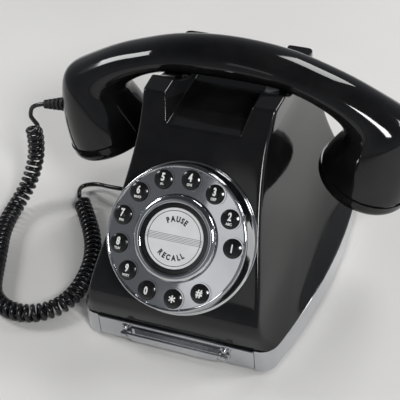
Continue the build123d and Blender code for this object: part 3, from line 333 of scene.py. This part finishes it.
def rounded(start, corner, end):
    """Points on the round that cuts a corner, from one side of it to the other."""
    points = []
    for t in ROUND_SHARES:
        a, b, c = (1 - t) ** 2, 2 * t * (1 - t), t ** 2
        points.append((a * start[0] + b * corner[0] + c * end[0], a * start[1] + b * corner[1] + c * end[1]))
    return points


def housing_section(z):
    """Half outline of the housing at a level, from the front to the back."""
    front, rear = face_depth(z), rear_depth(z)
    ease = min(1.0, max(0.0, (z - FOOT_LEVEL) / ROUND_EASE))
    front_round, rear_round = (foot + (top - foot) * ease for foot, top in (FRONT_ROUND, REAR_ROUND))
    front_corner, rear_corner = half_width(front, z), half_width(rear, z)
    front_turn, rear_turn = front_corner - front_round, rear_corner - rear_round
    start = (half_width(front + front_round, z), front + front_round)
    stop = (half_width(rear - rear_round, z), rear - rear_round)
    inner = arm_inner(z)
    edge = inner * (1.0 - SHELF_EDGE_SHARE)
    points = [(0.0, front), (edge, front), (inner, front), ((inner + front_turn) / 2, front),
              (front_turn, front)]
    points += rounded((front_turn, front), (front_corner, front), start)
    points.append(start)
    for share in FLANK_SHARES:
        depth = start[1] + (stop[1] - start[1]) * share
        points.append((half_width(depth, z), depth))
    points += rounded(stop, (rear_corner, rear), (rear_turn, rear))
    points += [(rear_turn, rear), ((inner + rear_turn) / 2, rear), (inner, rear), (edge, rear), (0.0, rear)]
    return points


def arm_top(station):
    """Level of the arm's top above one station, found by steps, since the outline changes with the level."""
    z = REAR_EAR_TOP
    for _ in range(ARM_TOP_PASSES):
        z += (saddle_level(housing_section(z)[station][1]) - z) / 2
    return z


def first_row(mesh, places, closed=False):
    """Vertices at places, numbered as stations, and the chain of edges that joins them."""
    station_of = mesh.verts.layers.int.new("station")
    row = [mesh.verts.new(place) for place in places]
    for number, vertex in enumerate(row):
        vertex[station_of] = number
    pairs = list(zip(row, row[1:]))
    if closed:
        pairs.insert(0, (row[-1], row[0]))
    return [mesh.edges.new(pair) for pair in pairs]


def raise_edges(mesh, edges, place):
    """Extrudes a chain of edges and puts each new vertex where its station belongs."""
    station_of = mesh.verts.layers.int["station"]
    made = bmesh.ops.extrude_edge_only(mesh, edges=edges)["geom"]
    for vertex in (g for g in made if isinstance(g, bmesh.types.BMVert)):
        vertex.co = place(vertex[station_of])
    return [g for g in made if isinstance(g, bmesh.types.BMEdge)
            and g.verts[0][station_of] != g.verts[1][station_of]]


def add_mirror_half(mesh, merge):
    """Completes a mesh drawn as its right half."""
    half = mesh.verts[:] + mesh.edges[:] + mesh.faces[:]
    bmesh.ops.mirror(mesh, geom=half, axis="X", merge_dist=MIRROR_GAP)
    bmesh.ops.remove_doubles(mesh, verts=mesh.verts[:], dist=merge)


def set_in_frame(mesh, depth):
    """Turns the faces of a mesh drawn in millimetres outwards and takes it to its place, in metres."""
    bmesh.ops.recalc_face_normals(mesh, faces=mesh.faces[:])
    bmesh.ops.translate(mesh, verts=mesh.verts[:], vec=(0.0, depth - CENTRE_DEPTH, 0.0))
    bmesh.ops.scale(mesh, verts=mesh.verts[:], vec=(MM, MM, MM))


def give_wall(piece, wall, smooth_levels=0):
    """Smooths a shell and gives it a wall inwards."""
    if smooth_levels:
        rounding = piece.modifiers.new("rounding", "SUBSURF")
        rounding.levels = rounding.render_levels = smooth_levels
    thickness = piece.modifiers.new("wall", "SOLIDIFY")
    thickness.thickness = wall * MM
    thickness.offset = -1.0


housing_mesh = bmesh.new()
open_edges = first_row(housing_mesh, [(*place, FOOT_LEVEL) for place in housing_section(FOOT_LEVEL)])
housing_stations = len(housing_mesh.verts)
for level_height in BODY_LEVELS[1:]:
    section = housing_section(level_height)
    open_edges = raise_edges(housing_mesh, open_edges, lambda n: (*section[n], level_height))

station_of = housing_mesh.verts.layers.int["station"]
arm_edges = [e for e in open_edges if all(1 < v[station_of] < housing_stations - 2 for v in e.verts)]
arm_tops = [arm_top(number) for number in range(housing_stations)]
for share in ARM_SHARES:
    heights = [SHELF_LEVEL + (top - SHELF_LEVEL) * share for top in arm_tops]
    sections = [housing_section(height)[number] for number, height in enumerate(heights)]
    arm_edges = raise_edges(housing_mesh, arm_edges, lambda n: (*sections[n], heights[n]))

inner_shares = []
for number, top in enumerate(arm_tops):
    front, rear = face_depth(top), rear_depth(top)
    depth = housing_section(top)[number][1]
    if number <= CORNER_STATIONS:
        depth = front + CORNER_STEP * max(0, number - 2)
    elif number >= housing_stations - 1 - CORNER_STATIONS:
        depth = rear - CORNER_STEP * max(0, housing_stations - 3 - number)
    inner_shares.append((depth - front) / (rear - front))


def inner_place(number, share, inset):
    """Place on an arm's inner wall, or in from it on the shelf for a share of nothing."""
    z = SHELF_LEVEL + (arm_tops[number] - SHELF_LEVEL) * share
    front, rear = face_depth(z), rear_depth(z)
    return (arm_inner(z) * (1.0 - inset), front + inner_shares[number] * (rear - front), z)


top_faces_before = set(housing_mesh.faces)
arm_edges = raise_edges(housing_mesh, arm_edges, lambda n: inner_place(n, 1.0, 0.0))
arm_top_faces = [face for face in housing_mesh.faces if face not in top_faces_before]
for share in (*reversed(ARM_SHARES[:-1]), 0.0):
    arm_edges = raise_edges(housing_mesh, arm_edges, lambda n: inner_place(n, share, 0.0))
for inset in (SHELF_EDGE_SHARE, 1.0):
    arm_edges = raise_edges(housing_mesh, arm_edges, lambda n: inner_place(n, 0.0, inset))
bmesh.ops.inset_region(housing_mesh, faces=arm_top_faces, thickness=EAR_EDGE, use_even_offset=True)
add_mirror_half(housing_mesh, MERGE_GAP)
bmesh.ops.dissolve_degenerate(housing_mesh, edges=housing_mesh.edges[:], dist=MIRROR_GAP)
set_in_frame(housing_mesh, 0.0)

gloss_black = surface("gloss_black", dark=(0.005, 0.005, 0.0055), light=(0.009, 0.009, 0.0095),
                      tone_size=0.02, rough=(0.045, 0.10), rough_size=0.03, grain_size=0.006,
                      grain_depth=0.00001, index=1.44)
housing = add_piece("housing_shell", housing_mesh, gloss_black)
give_wall(housing, HOUSING_WALL, SMOOTH_LEVELS)
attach(housing, "base")
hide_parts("housing")
dress(zinc, "housing_screws")
dress(gloss_black, "hook_plunger")

# Dial: a plated drum on the sloping face, a plated plate with twelve rimmed holes, and a raised plated
# ring round the centre well, whose collar is black. Under the plate are the rubber mat and the key board.
DIAL_ORIGIN = Vector((0.0, FACE_DEPTH - CENTRE_DEPTH, FACE_LEVEL)) * MM
DIAL_UP = Vector((0.0, math.sin(FACE_TILT), math.cos(FACE_TILT)))
DIAL_OUT = Vector((0.0, -math.cos(FACE_TILT), math.sin(FACE_TILT)))
DIAL = Matrix.Translation(DIAL_ORIGIN) @ Matrix(
    (Vector((1.0, 0.0, 0.0)), DIAL_UP, DIAL_OUT)).transposed().to_4x4() @ Matrix.Scale(MM, 4)
DRUM_PROFILE = [(43.6, 0.0), (44.2, 0.15), (44.5, 0.55), (44.5, 1.05), (44.2, 1.45), (43.6, 1.7), (43.1, 2.4),
                (42.6, 4.2), (42.1, 7.0), (41.8, 10.6), (41.75, 12.2), (41.8, 12.8), (41.75, 13.3),
                (41.45, 13.75), (40.95, 13.95), (40.45, 13.8), (40.1, 13.4), (39.85, 13.05), (39.8, 12.8)]
DRUM_WALL = 0.8
TURN_STEPS = 128
TURN_GAP = 0.001


def turned(profile):
    """Bmesh of a profile of radii and heights spun once about the upright axis."""
    mesh = bmesh.new()
    points = [mesh.verts.new((radius, 0.0, height)) for radius, height in profile]
    edges = [mesh.edges.new(pair) for pair in zip(points, points[1:])]
    bmesh.ops.spin(mesh, geom=points + edges, cent=(0, 0, 0), axis=(0, 0, 1), angle=2 * math.pi,
                   steps=TURN_STEPS, use_merge=True)
    bmesh.ops.remove_doubles(mesh, verts=mesh.verts[:], dist=TURN_GAP)
    bmesh.ops.recalc_face_normals(mesh, faces=mesh.faces[:])
    return mesh


drum_mesh = turned(DRUM_PROFILE)
bmesh.ops.transform(drum_mesh, matrix=DIAL, verts=drum_mesh.verts[:])
drum = add_piece("dial_drum", drum_mesh, chrome)
give_wall(drum, DRUM_WALL)
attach(drum, "base")
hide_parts("dial_bezel")
key_black = surface("key_black", dark=(0.006, 0.006, 0.0065), light=(0.011, 0.011, 0.0115), tone_size=0.004,
                    rough=(0.09, 0.18), rough_size=0.003, grain_size=0.0006, grain_depth=0.00002, coat=0.2)
board_green = surface("board_green", dark=(0.02, 0.13, 0.05), light=(0.03, 0.19, 0.08), tone_size=0.01,
                      rough=(0.3, 0.45), rough_size=0.005, grain_size=0.001, grain_depth=0.00005)
dress(chrome, "dial_plate", "centre_ring")
dress(key_black, "centre_collar")
dress(rubber, "keypad_mat")
dress(board_green, "keypad_board")
dress(zinc, "keypad_screws", "rocker_pin")
dress(matt_black, "rocker_switches")

# Keys: twelve domed black mouldings, each with its number and letters in white, pad-printed on the dome.
# The print is cut along a grid, laid on the dome and given a thickness, so that it follows the curve,
# with a third of it sunk in.
KEY_NAMES = ("1", "2", "3", "4", "5", "6", "7", "8", "9", "0", "star", "hash")
KEY_SIGNS = ("1", "2", "3", "4", "5", "6", "7", "8", "9", "0", "*", "#")
KEY_LETTERS = ("", "ABC", "DEF", "GHI", "JKL", "MNO", "PRS", "TUV", "WXY", "", "", "")
KEY_CIRCLE = 34.0
KEY_FIRST_ANGLE = 1.7
KEY_STEP_ANGLE = 360.0 / 13.0
DOME_TOP = 15.5
DOME_RADIUS = 11.45
SIGN_HEIGHT = 4.7
SIGN_WIDTH = 0.70
HASH_WIDTH = 0.95
SIGN_BOLD = 0.40
SIGN_RISE = 1.35
STAR_BARS = 3
STAR_SIZE = 4.2
STAR_BAR = 0.75
LETTER_HEIGHT = 1.55
LETTER_WIDTH = 0.92
LETTER_BOLD = 0.12
LETTER_DROP = -2.75
LETTER_STEPS = 4
LETTER_GAP = 0.0005
PRINT_THICK = 0.06
PRINT_GRID = 0.7
PRINT_REACH = 6
PRINT_FINISH = {"tone_size": 0.003, "rough": (0.4, 0.55), "rough_size": 0.002, "grain_size": 0.0004,
                "grain_depth": 0.00001}


def lettering(text, height, width, bold):
    """Flat bmesh of a line of text of a height, centred on the origin, with strokes thickened by bold."""
    words = bpy.data.curves.new("words", "FONT")
    words.body = text
    words.size = height
    words.offset = bold / 2
    words.resolution_u = LETTER_STEPS
    holder = bpy.data.objects.new("words", words)
    scene.collection.objects.link(holder)
    bpy.context.view_layer.update()
    flat = bpy.data.meshes.new_from_object(holder.evaluated_get(bpy.context.evaluated_depsgraph_get()))
    bpy.data.objects.remove(holder)
    mesh = bmesh.new()
    mesh.from_mesh(flat)
    bpy.data.meshes.remove(flat)
    bmesh.ops.remove_doubles(mesh, verts=mesh.verts[:], dist=LETTER_GAP)
    xs = [v.co.x for v in mesh.verts]
    ys = [v.co.y for v in mesh.verts]
    middle = Vector(((min(xs) + max(xs)) / 2, (min(ys) + max(ys)) / 2, 0.0))
    bmesh.ops.translate(mesh, verts=mesh.verts[:], vec=-middle)
    fit = height / (max(ys) - min(ys))
    bmesh.ops.scale(mesh, verts=mesh.verts[:], vec=(fit * width, fit, 1.0))
    return mesh


def flat_bar(width, height):
    """Flat bmesh of a bar, centred on the origin."""
    mesh = bmesh.new()
    bmesh.ops.create_grid(mesh, x_segments=1, y_segments=1, size=0.5)
    bmesh.ops.scale(mesh, verts=mesh.verts[:], vec=(width, height, 1.0))
    return mesh


def join(mesh, other):
    """Adds one bmesh to another."""
    data = bpy.data.meshes.new("joined")
    other.to_mesh(data)
    other.free()
    mesh.from_mesh(data)
    bpy.data.meshes.remove(data)


def star():
    """Flat bmesh of a six-armed star."""
    mesh = bmesh.new()
    for turn in range(STAR_BARS):
        bar_mesh = flat_bar(STAR_BAR, STAR_SIZE)
        bmesh.ops.rotate(bar_mesh, verts=bar_mesh.verts[:], cent=(0, 0, 0),
                         matrix=Matrix.Rotation(turn * math.pi / STAR_BARS, 3, "Z"))
        join(mesh, bar_mesh)
    return mesh


def give_thickness(mesh, thick):
    """Makes flat print a thin solid that rises from where it lies."""
    made = bmesh.ops.extrude_face_region(mesh, geom=mesh.faces[:])["geom"]
    raised = [g for g in made if isinstance(g, bmesh.types.BMVert)]
    bmesh.ops.translate(mesh, verts=raised, vec=(0.0, 0.0, thick))
    bmesh.ops.recalc_face_normals(mesh, faces=mesh.faces[:])


print_white = surface("white_print", dark=(0.80, 0.80, 0.78), light=(0.88, 0.88, 0.86), **PRINT_FINISH)
for number, (key_name, sign, letters) in enumerate(zip(KEY_NAMES, KEY_SIGNS, KEY_LETTERS)):
    if sign == "*":
        print_mesh = star()
    else:
        print_mesh = lettering(sign, SIGN_HEIGHT, HASH_WIDTH if sign == "#" else SIGN_WIDTH, SIGN_BOLD)
    if letters:
        bmesh.ops.translate(print_mesh, verts=print_mesh.verts[:], vec=(0.0, SIGN_RISE, 0.0))
        small = lettering(letters, LETTER_HEIGHT, LETTER_WIDTH, LETTER_BOLD)
        bmesh.ops.translate(small, verts=small.verts[:], vec=(0.0, LETTER_DROP, 0.0))
        join(print_mesh, small)
    for direction in ((1, 0, 0), (0, 1, 0)):
        for step in range(-PRINT_REACH, PRINT_REACH + 1):
            cut = print_mesh.verts[:] + print_mesh.edges[:] + print_mesh.faces[:]
            bmesh.ops.bisect_plane(print_mesh, geom=cut, plane_co=[c * step * PRINT_GRID for c in direction],
                                   plane_no=direction)
    give_thickness(print_mesh, PRINT_THICK)
    for vertex in print_mesh.verts:
        x, y, rise = vertex.co
        dome = DOME_TOP - DOME_RADIUS + math.sqrt(DOME_RADIUS ** 2 - x * x - y * y)
        vertex.co.z = dome + rise - PRINT_THICK / 3
    angle = math.radians(KEY_FIRST_ANGLE + number * KEY_STEP_ANGLE)
    bmesh.ops.translate(print_mesh, verts=print_mesh.verts[:],
                        vec=(KEY_CIRCLE * math.cos(angle), KEY_CIRCLE * math.sin(angle), 0.0))
    bmesh.ops.transform(print_mesh, matrix=DIAL, verts=print_mesh.verts[:])
    key_print = add_piece("key_print_" + key_name, print_mesh, print_white, smooth=False)
    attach(key_print, "key_" + key_name)
    dress(key_black, "key_" + key_name)

# Rocker: the white satin button of the dial's centre, printed in black with a circle and its two
# functions on arcs, and in grey with a band of thin lines over the pin that it tips on.
ROCKER_TOP = 15.6
ROCKER_RADIUS = 17.3
CIRCLE_RADIUS = 15.7
CIRCLE_WIDTH = 0.36
FUNCTIONS = (("PAUSE", -1), ("RECALL", 1))
FUNCTION_RADIUS = 11.0
FUNCTION_HEIGHT = 3.4
FUNCTION_WIDTH = 0.80
FUNCTION_BOLD = 0.36
FUNCTION_GAP = 0.62
LINE_PLACES = (-2, -1, 0, 1, 2)
LINE_PITCH = 0.85
LINE_WIDTH = 0.26
LINE_INSET = 0.5
LAID = 0.04

white_satin = surface("white_satin", dark=(0.76, 0.77, 0.77), light=(0.82, 0.82, 0.82), tone_size=0.01,
                      rough=(0.3, 0.42), rough_size=0.006, grain_size=0.0008, grain_depth=0.00002)
print_black = surface("black_print", dark=(0.012, 0.012, 0.013), light=(0.022, 0.022, 0.023), **PRINT_FINISH)
print_grey = surface("grey_print", dark=(0.13, 0.14, 0.15), light=(0.18, 0.19, 0.20), **PRINT_FINISH)
dress(white_satin, "rocker")
label_mesh = bmesh.new()
for word, turn_sign in FUNCTIONS:
    drawn = [lettering(letter, FUNCTION_HEIGHT, FUNCTION_WIDTH, FUNCTION_BOLD) for letter in word]
    widths = [max(v.co.x for v in mesh.verts) - min(v.co.x for v in mesh.verts) for mesh in drawn]
    along = -(sum(widths) + FUNCTION_GAP * (len(word) - 1)) / 2
    for letter_mesh, width in zip(drawn, widths):
        swing = turn_sign * (along + width / 2) / FUNCTION_RADIUS
        along += width + FUNCTION_GAP
        bmesh.ops.translate(letter_mesh, verts=letter_mesh.verts[:],
                            vec=(0.0, -turn_sign * FUNCTION_RADIUS, 0.0))
        bmesh.ops.rotate(letter_mesh, verts=letter_mesh.verts[:], cent=(0, 0, 0),
                         matrix=Matrix.Rotation(swing, 3, "Z"))
        join(label_mesh, letter_mesh)
join(label_mesh, turned([(CIRCLE_RADIUS + half, 0.0) for half in (-CIRCLE_WIDTH / 2, CIRCLE_WIDTH / 2)]))
lines_mesh = bmesh.new()
for place in LINE_PLACES:
    height = place * LINE_PITCH
    reach = math.sqrt((ROCKER_RADIUS - LINE_INSET) ** 2 - height ** 2)
    line_mesh = flat_bar(2 * reach, LINE_WIDTH)
    bmesh.ops.translate(line_mesh, verts=line_mesh.verts[:], vec=(0.0, height, 0.0))
    join(lines_mesh, line_mesh)
for label_name, mesh, ink in (("rocker_label", label_mesh, print_black),
                              ("rocker_lines", lines_mesh, print_grey)):
    give_thickness(mesh, LAID)
    bmesh.ops.translate(mesh, verts=mesh.verts[:], vec=(0.0, 0.0, ROCKER_TOP - LAID / 3))
    bmesh.ops.transform(mesh, matrix=DIAL, verts=mesh.verts[:])
    label = add_piece(label_name, mesh, ink, smooth=False)
    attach(label, "rocker")

# Handset: a gloss black shell, an arched handle, flat underneath in its middle, that swells into a cup at
# each end. It is drawn as one run of oval sections between an inner and an outer line, mirrored, and
# hollowed. Round caps screw onto the cups.
HANDSET_DEPTH = 115.0
HANDLE_CENTRE_LEVEL = -10.2
HANDLE_INNER_RADIUS = 140.5
HANDLE_OUTER_RADIUS = 159.6
HANDLE_STATIONS = (0.0, 0.075, 0.15, 0.225, 0.30, 0.365)
HANDLE_HALF_WIDTH = 15.2
HANDLE_GROWTH = 0.02
HANDLE_UNDERSIDE = 126.4
HANDSET_INNER = ((58.8, 116.0), (64.4, 112.0), (68.6, 108.0), (70.6, 103.6), (69.9, 99.0), (67.3, 94.6),
                 (63.9, 90.0), (60.8, 85.4), (58.3, 81.2), (57.9, 80.5))
HANDSET_OUTER = ((71.5, 134.0), (84.0, 128.2), (96.0, 121.6), (105.6, 116.2), (111.6, 111.8), (114.0, 104.0),
                 (115.0, 92.0), (115.1, 80.0), (113.4, 64.6), (112.2, 60.0))
HANDSET_HALF_WIDTH = (15.6, 16.2, 17.3, 19.0, 21.2, 23.5, 25.8, 27.5, 28.8, 29.0)
RING_STEPS = 32
SHELL_WALL = 2.2

arch_centre = Vector((0.0, HANDLE_CENTRE_LEVEL))
ovals = []
for swing in HANDLE_STATIONS:
    ray = Vector((math.sin(swing), math.cos(swing)))
    inner = ray * HANDLE_INNER_RADIUS + arch_centre
    inner.y = min(inner.y, HANDLE_UNDERSIDE)
    outer = ray * HANDLE_OUTER_RADIUS + arch_centre
    grow = 1.0 + HANDLE_GROWTH * (swing / HANDLE_STATIONS[-1]) ** 2
    ovals.append((inner, outer, HANDLE_HALF_WIDTH * grow))
for inner, outer, width in zip(HANDSET_INNER, HANDSET_OUTER, HANDSET_HALF_WIDTH):
    ovals.append((Vector(inner), Vector(outer), width))


def oval_place(oval, step):
    """Point of one oval section of the handset."""
    inner, outer, width = oval
    angle = 2 * math.pi * step / RING_STEPS
    middle = (inner + outer) / 2 + (outer - inner) / 2 * math.cos(angle)
    return (middle.x, width * math.sin(angle), middle.y)


shell_mesh = bmesh.new()
ring_edges = first_row(shell_mesh, [oval_place(ovals[0], step) for step in range(RING_STEPS)], closed=True)
for oval in ovals[1:]:
    ring_edges = raise_edges(shell_mesh, ring_edges, lambda step: oval_place(oval, step))
add_mirror_half(shell_mesh, MIRROR_GAP)
set_in_frame(shell_mesh, HANDSET_DEPTH)
shell = add_piece("handset_body", shell_mesh, gloss_black)
give_wall(shell, SHELL_WALL, SMOOTH_LEVELS)
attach(shell, "handset")
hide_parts("handset_shell")
dress(gloss_black, "ear_cap", "mouth_cap")
dress(matt_black, "receiver_capsule", "microphone_capsule")

# Strain relief and cord: a ribbed rubber sleeve on the mouthpiece end, and one soft black wire, straight at
# both ends and curled between, down to the table, round in a loop and back to a jack in the left side.
WIRE_RADIUS = 0.0015
CURL_RADIUS = 0.0045
CURL_TURNS = 74
CURL_STEPS = 16
CURL_LIFT_TURNS = 2.4
CURL_SPIN_FROM = 1.6
CURL_SPIN_TURNS = 2.0
CURL_FIRST = 2
CURL_LAST = 24
CURL_JOIN = 0.001
CURVE_STEPS = 16
CORD_ROUTE = [
    (-0.13283, 0.03072, 0.07747), (-0.14261, 0.03072, 0.07539), (-0.14650, 0.03072, 0.06650),
    (-0.14600, 0.03072, 0.05600), (-0.14552, 0.03072, 0.04601), (-0.14650, 0.02772, 0.03100),
    (-0.14950, 0.01772, 0.01600), (-0.15300, 0.00472, 0.00780), (-0.15300, -0.01028, 0.00630),
    (-0.14950, -0.02628, 0.00630), (-0.14250, -0.04328, 0.00630), (-0.13437, -0.06531, 0.00630),
    (-0.12854, -0.07753, 0.00630), (-0.11780, -0.08577, 0.00630), (-0.10448, -0.08824, 0.00630),
    (-0.09150, -0.08439, 0.00630), (-0.08168, -0.07507, 0.00630), (-0.07716, -0.06231, 0.00630),
    (-0.07700, -0.04828, 0.00630), (-0.07900, -0.03428, 0.00630), (-0.08400, -0.02028, 0.00630),
    (-0.09200, -0.00628, 0.00630), (-0.10150, 0.00672, 0.00630), (-0.11100, 0.01872, 0.00630),
    (-0.11814, 0.02774, 0.00630), (-0.12000, 0.03720, 0.00440), (-0.11050, 0.04150, 0.00480),
    (-0.09800, 0.03700, 0.00840), (-0.08440, 0.03572, 0.01050), (-0.07740, 0.03572, 0.01050),
]


def curve_mesh(name, points, kind, thick):
    """Mesh of a curve through or along points: its bare line, or a tube of a thickness."""
    data = bpy.data.curves.new(name, "CURVE")
    data.dimensions = "3D"
    data.resolution_u = CURVE_STEPS
    data.bevel_depth = thick
    data.bevel_resolution = 2
    data.use_fill_caps = True
    spline = data.splines.new(kind)
    spline.points.add(len(points) - 1)
    for point, place in zip(spline.points, points):
        point.co = (*place, 1.0)
    spline.order_u = 3
    spline.use_endpoint_u = True
    holder = bpy.data.objects.new(name, data)
    scene.collection.objects.link(holder)
    bpy.context.view_layer.update()
    made = bpy.data.meshes.new_from_object(holder.evaluated_get(bpy.context.evaluated_depsgraph_get()))
    bpy.data.objects.remove(holder)
    return made


route_line = [v.co.copy() for v in curve_mesh("cord_route", CORD_ROUTE, "NURBS", 0.0).vertices]
reaches = [0.0]
for a, b in zip(route_line, route_line[1:]):
    reaches.append(reaches[-1] + (b - a).length)


def on_route(distance):
    """Point and heading of the route at a distance from its start."""
    i = next((k for k, reach in enumerate(reaches) if reach >= distance and k > 0), len(reaches) - 1)
    share = (distance - reaches[i - 1]) / max(1e-9, reaches[i] - reaches[i - 1])
    return route_line[i - 1].lerp(route_line[i], share), (route_line[i] - route_line[i - 1]).normalized()


def reach_of(place):
    """Distance along the route to its point nearest a place."""
    return reaches[min(range(len(route_line)), key=lambda k: (route_line[k] - Vector(place)).length)]


def soft_start(share):
    """Goes from nothing to one without a corner."""
    share = max(0.0, min(1.0, share))
    return share * share * (3 - 2 * share)


curl_start, curl_end = reach_of(CORD_ROUTE[CURL_FIRST]), reach_of(CORD_ROUTE[CURL_LAST])
cord_line = [p for p, reach in zip(route_line, reaches) if reach < curl_start - CURL_JOIN]
across = Vector((1.0, 0.0, 0.0))
curl_points = CURL_TURNS * CURL_STEPS
swing = 0.0
for i in range(curl_points + 1):
    place, heading = on_route(curl_start + (curl_end - curl_start) * i / curl_points)
    across = (across - heading * across.dot(heading)).normalized()
    from_end = min(i, curl_points - i) / CURL_STEPS
    swing += 2 * math.pi / CURL_STEPS * soft_start((from_end - CURL_SPIN_FROM) / CURL_SPIN_TURNS)
    arm = across * math.cos(swing) + heading.cross(across) * math.sin(swing)
    cord_line.append(place + arm * CURL_RADIUS * soft_start(from_end / CURL_LIFT_TURNS))
cord_line += [p for p, reach in zip(route_line, reaches) if reach > curl_end + CURL_JOIN]

cord_jacket = surface("cord_jacket", dark=(0.008, 0.008, 0.0095), light=(0.014, 0.014, 0.016),
                      tone_size=0.006, rough=(0.14, 0.26), rough_size=0.004, grain_size=0.0007,
                      grain_depth=0.00003)
clear_plug = surface("clear_plug", dark=(0.48, 0.50, 0.52), light=(0.58, 0.60, 0.62), tone_size=0.003,
                     rough=(0.12, 0.22), rough_size=0.002, grain_size=0.0008, grain_depth=0.00005, coat=0.3)
cord_mesh = curve_mesh("handset_cord", cord_line, "POLY", WIRE_RADIUS)
for face in cord_mesh.polygons:
    face.use_smooth = True
cord_mesh.materials.clear()
cord_mesh.materials.append(cord_jacket)
cord = bpy.data.objects.new("handset_cord", cord_mesh)
scene.collection.objects.link(cord)
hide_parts("cord_lead", "curly_cord", "cord_tail")
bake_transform(cord)
dress(rubber, "strain_relief")
dress(clear_plug, "cord_plug")

# Inner pieces: boards, hook switch, sounder, jacks and the two slide switches at the back, all bought-in
# parts of matt black moulding, green board and plated steel.
dress(matt_black, "handset_jack", "line_jack", "jack_seats", "hook_switch", "ringer_sounder", "volume_switch",
      "tone_switch", "switch_bodies")
dress(board_green, "main_board")
dress(zinc, "hook_stand", "board_standoffs")
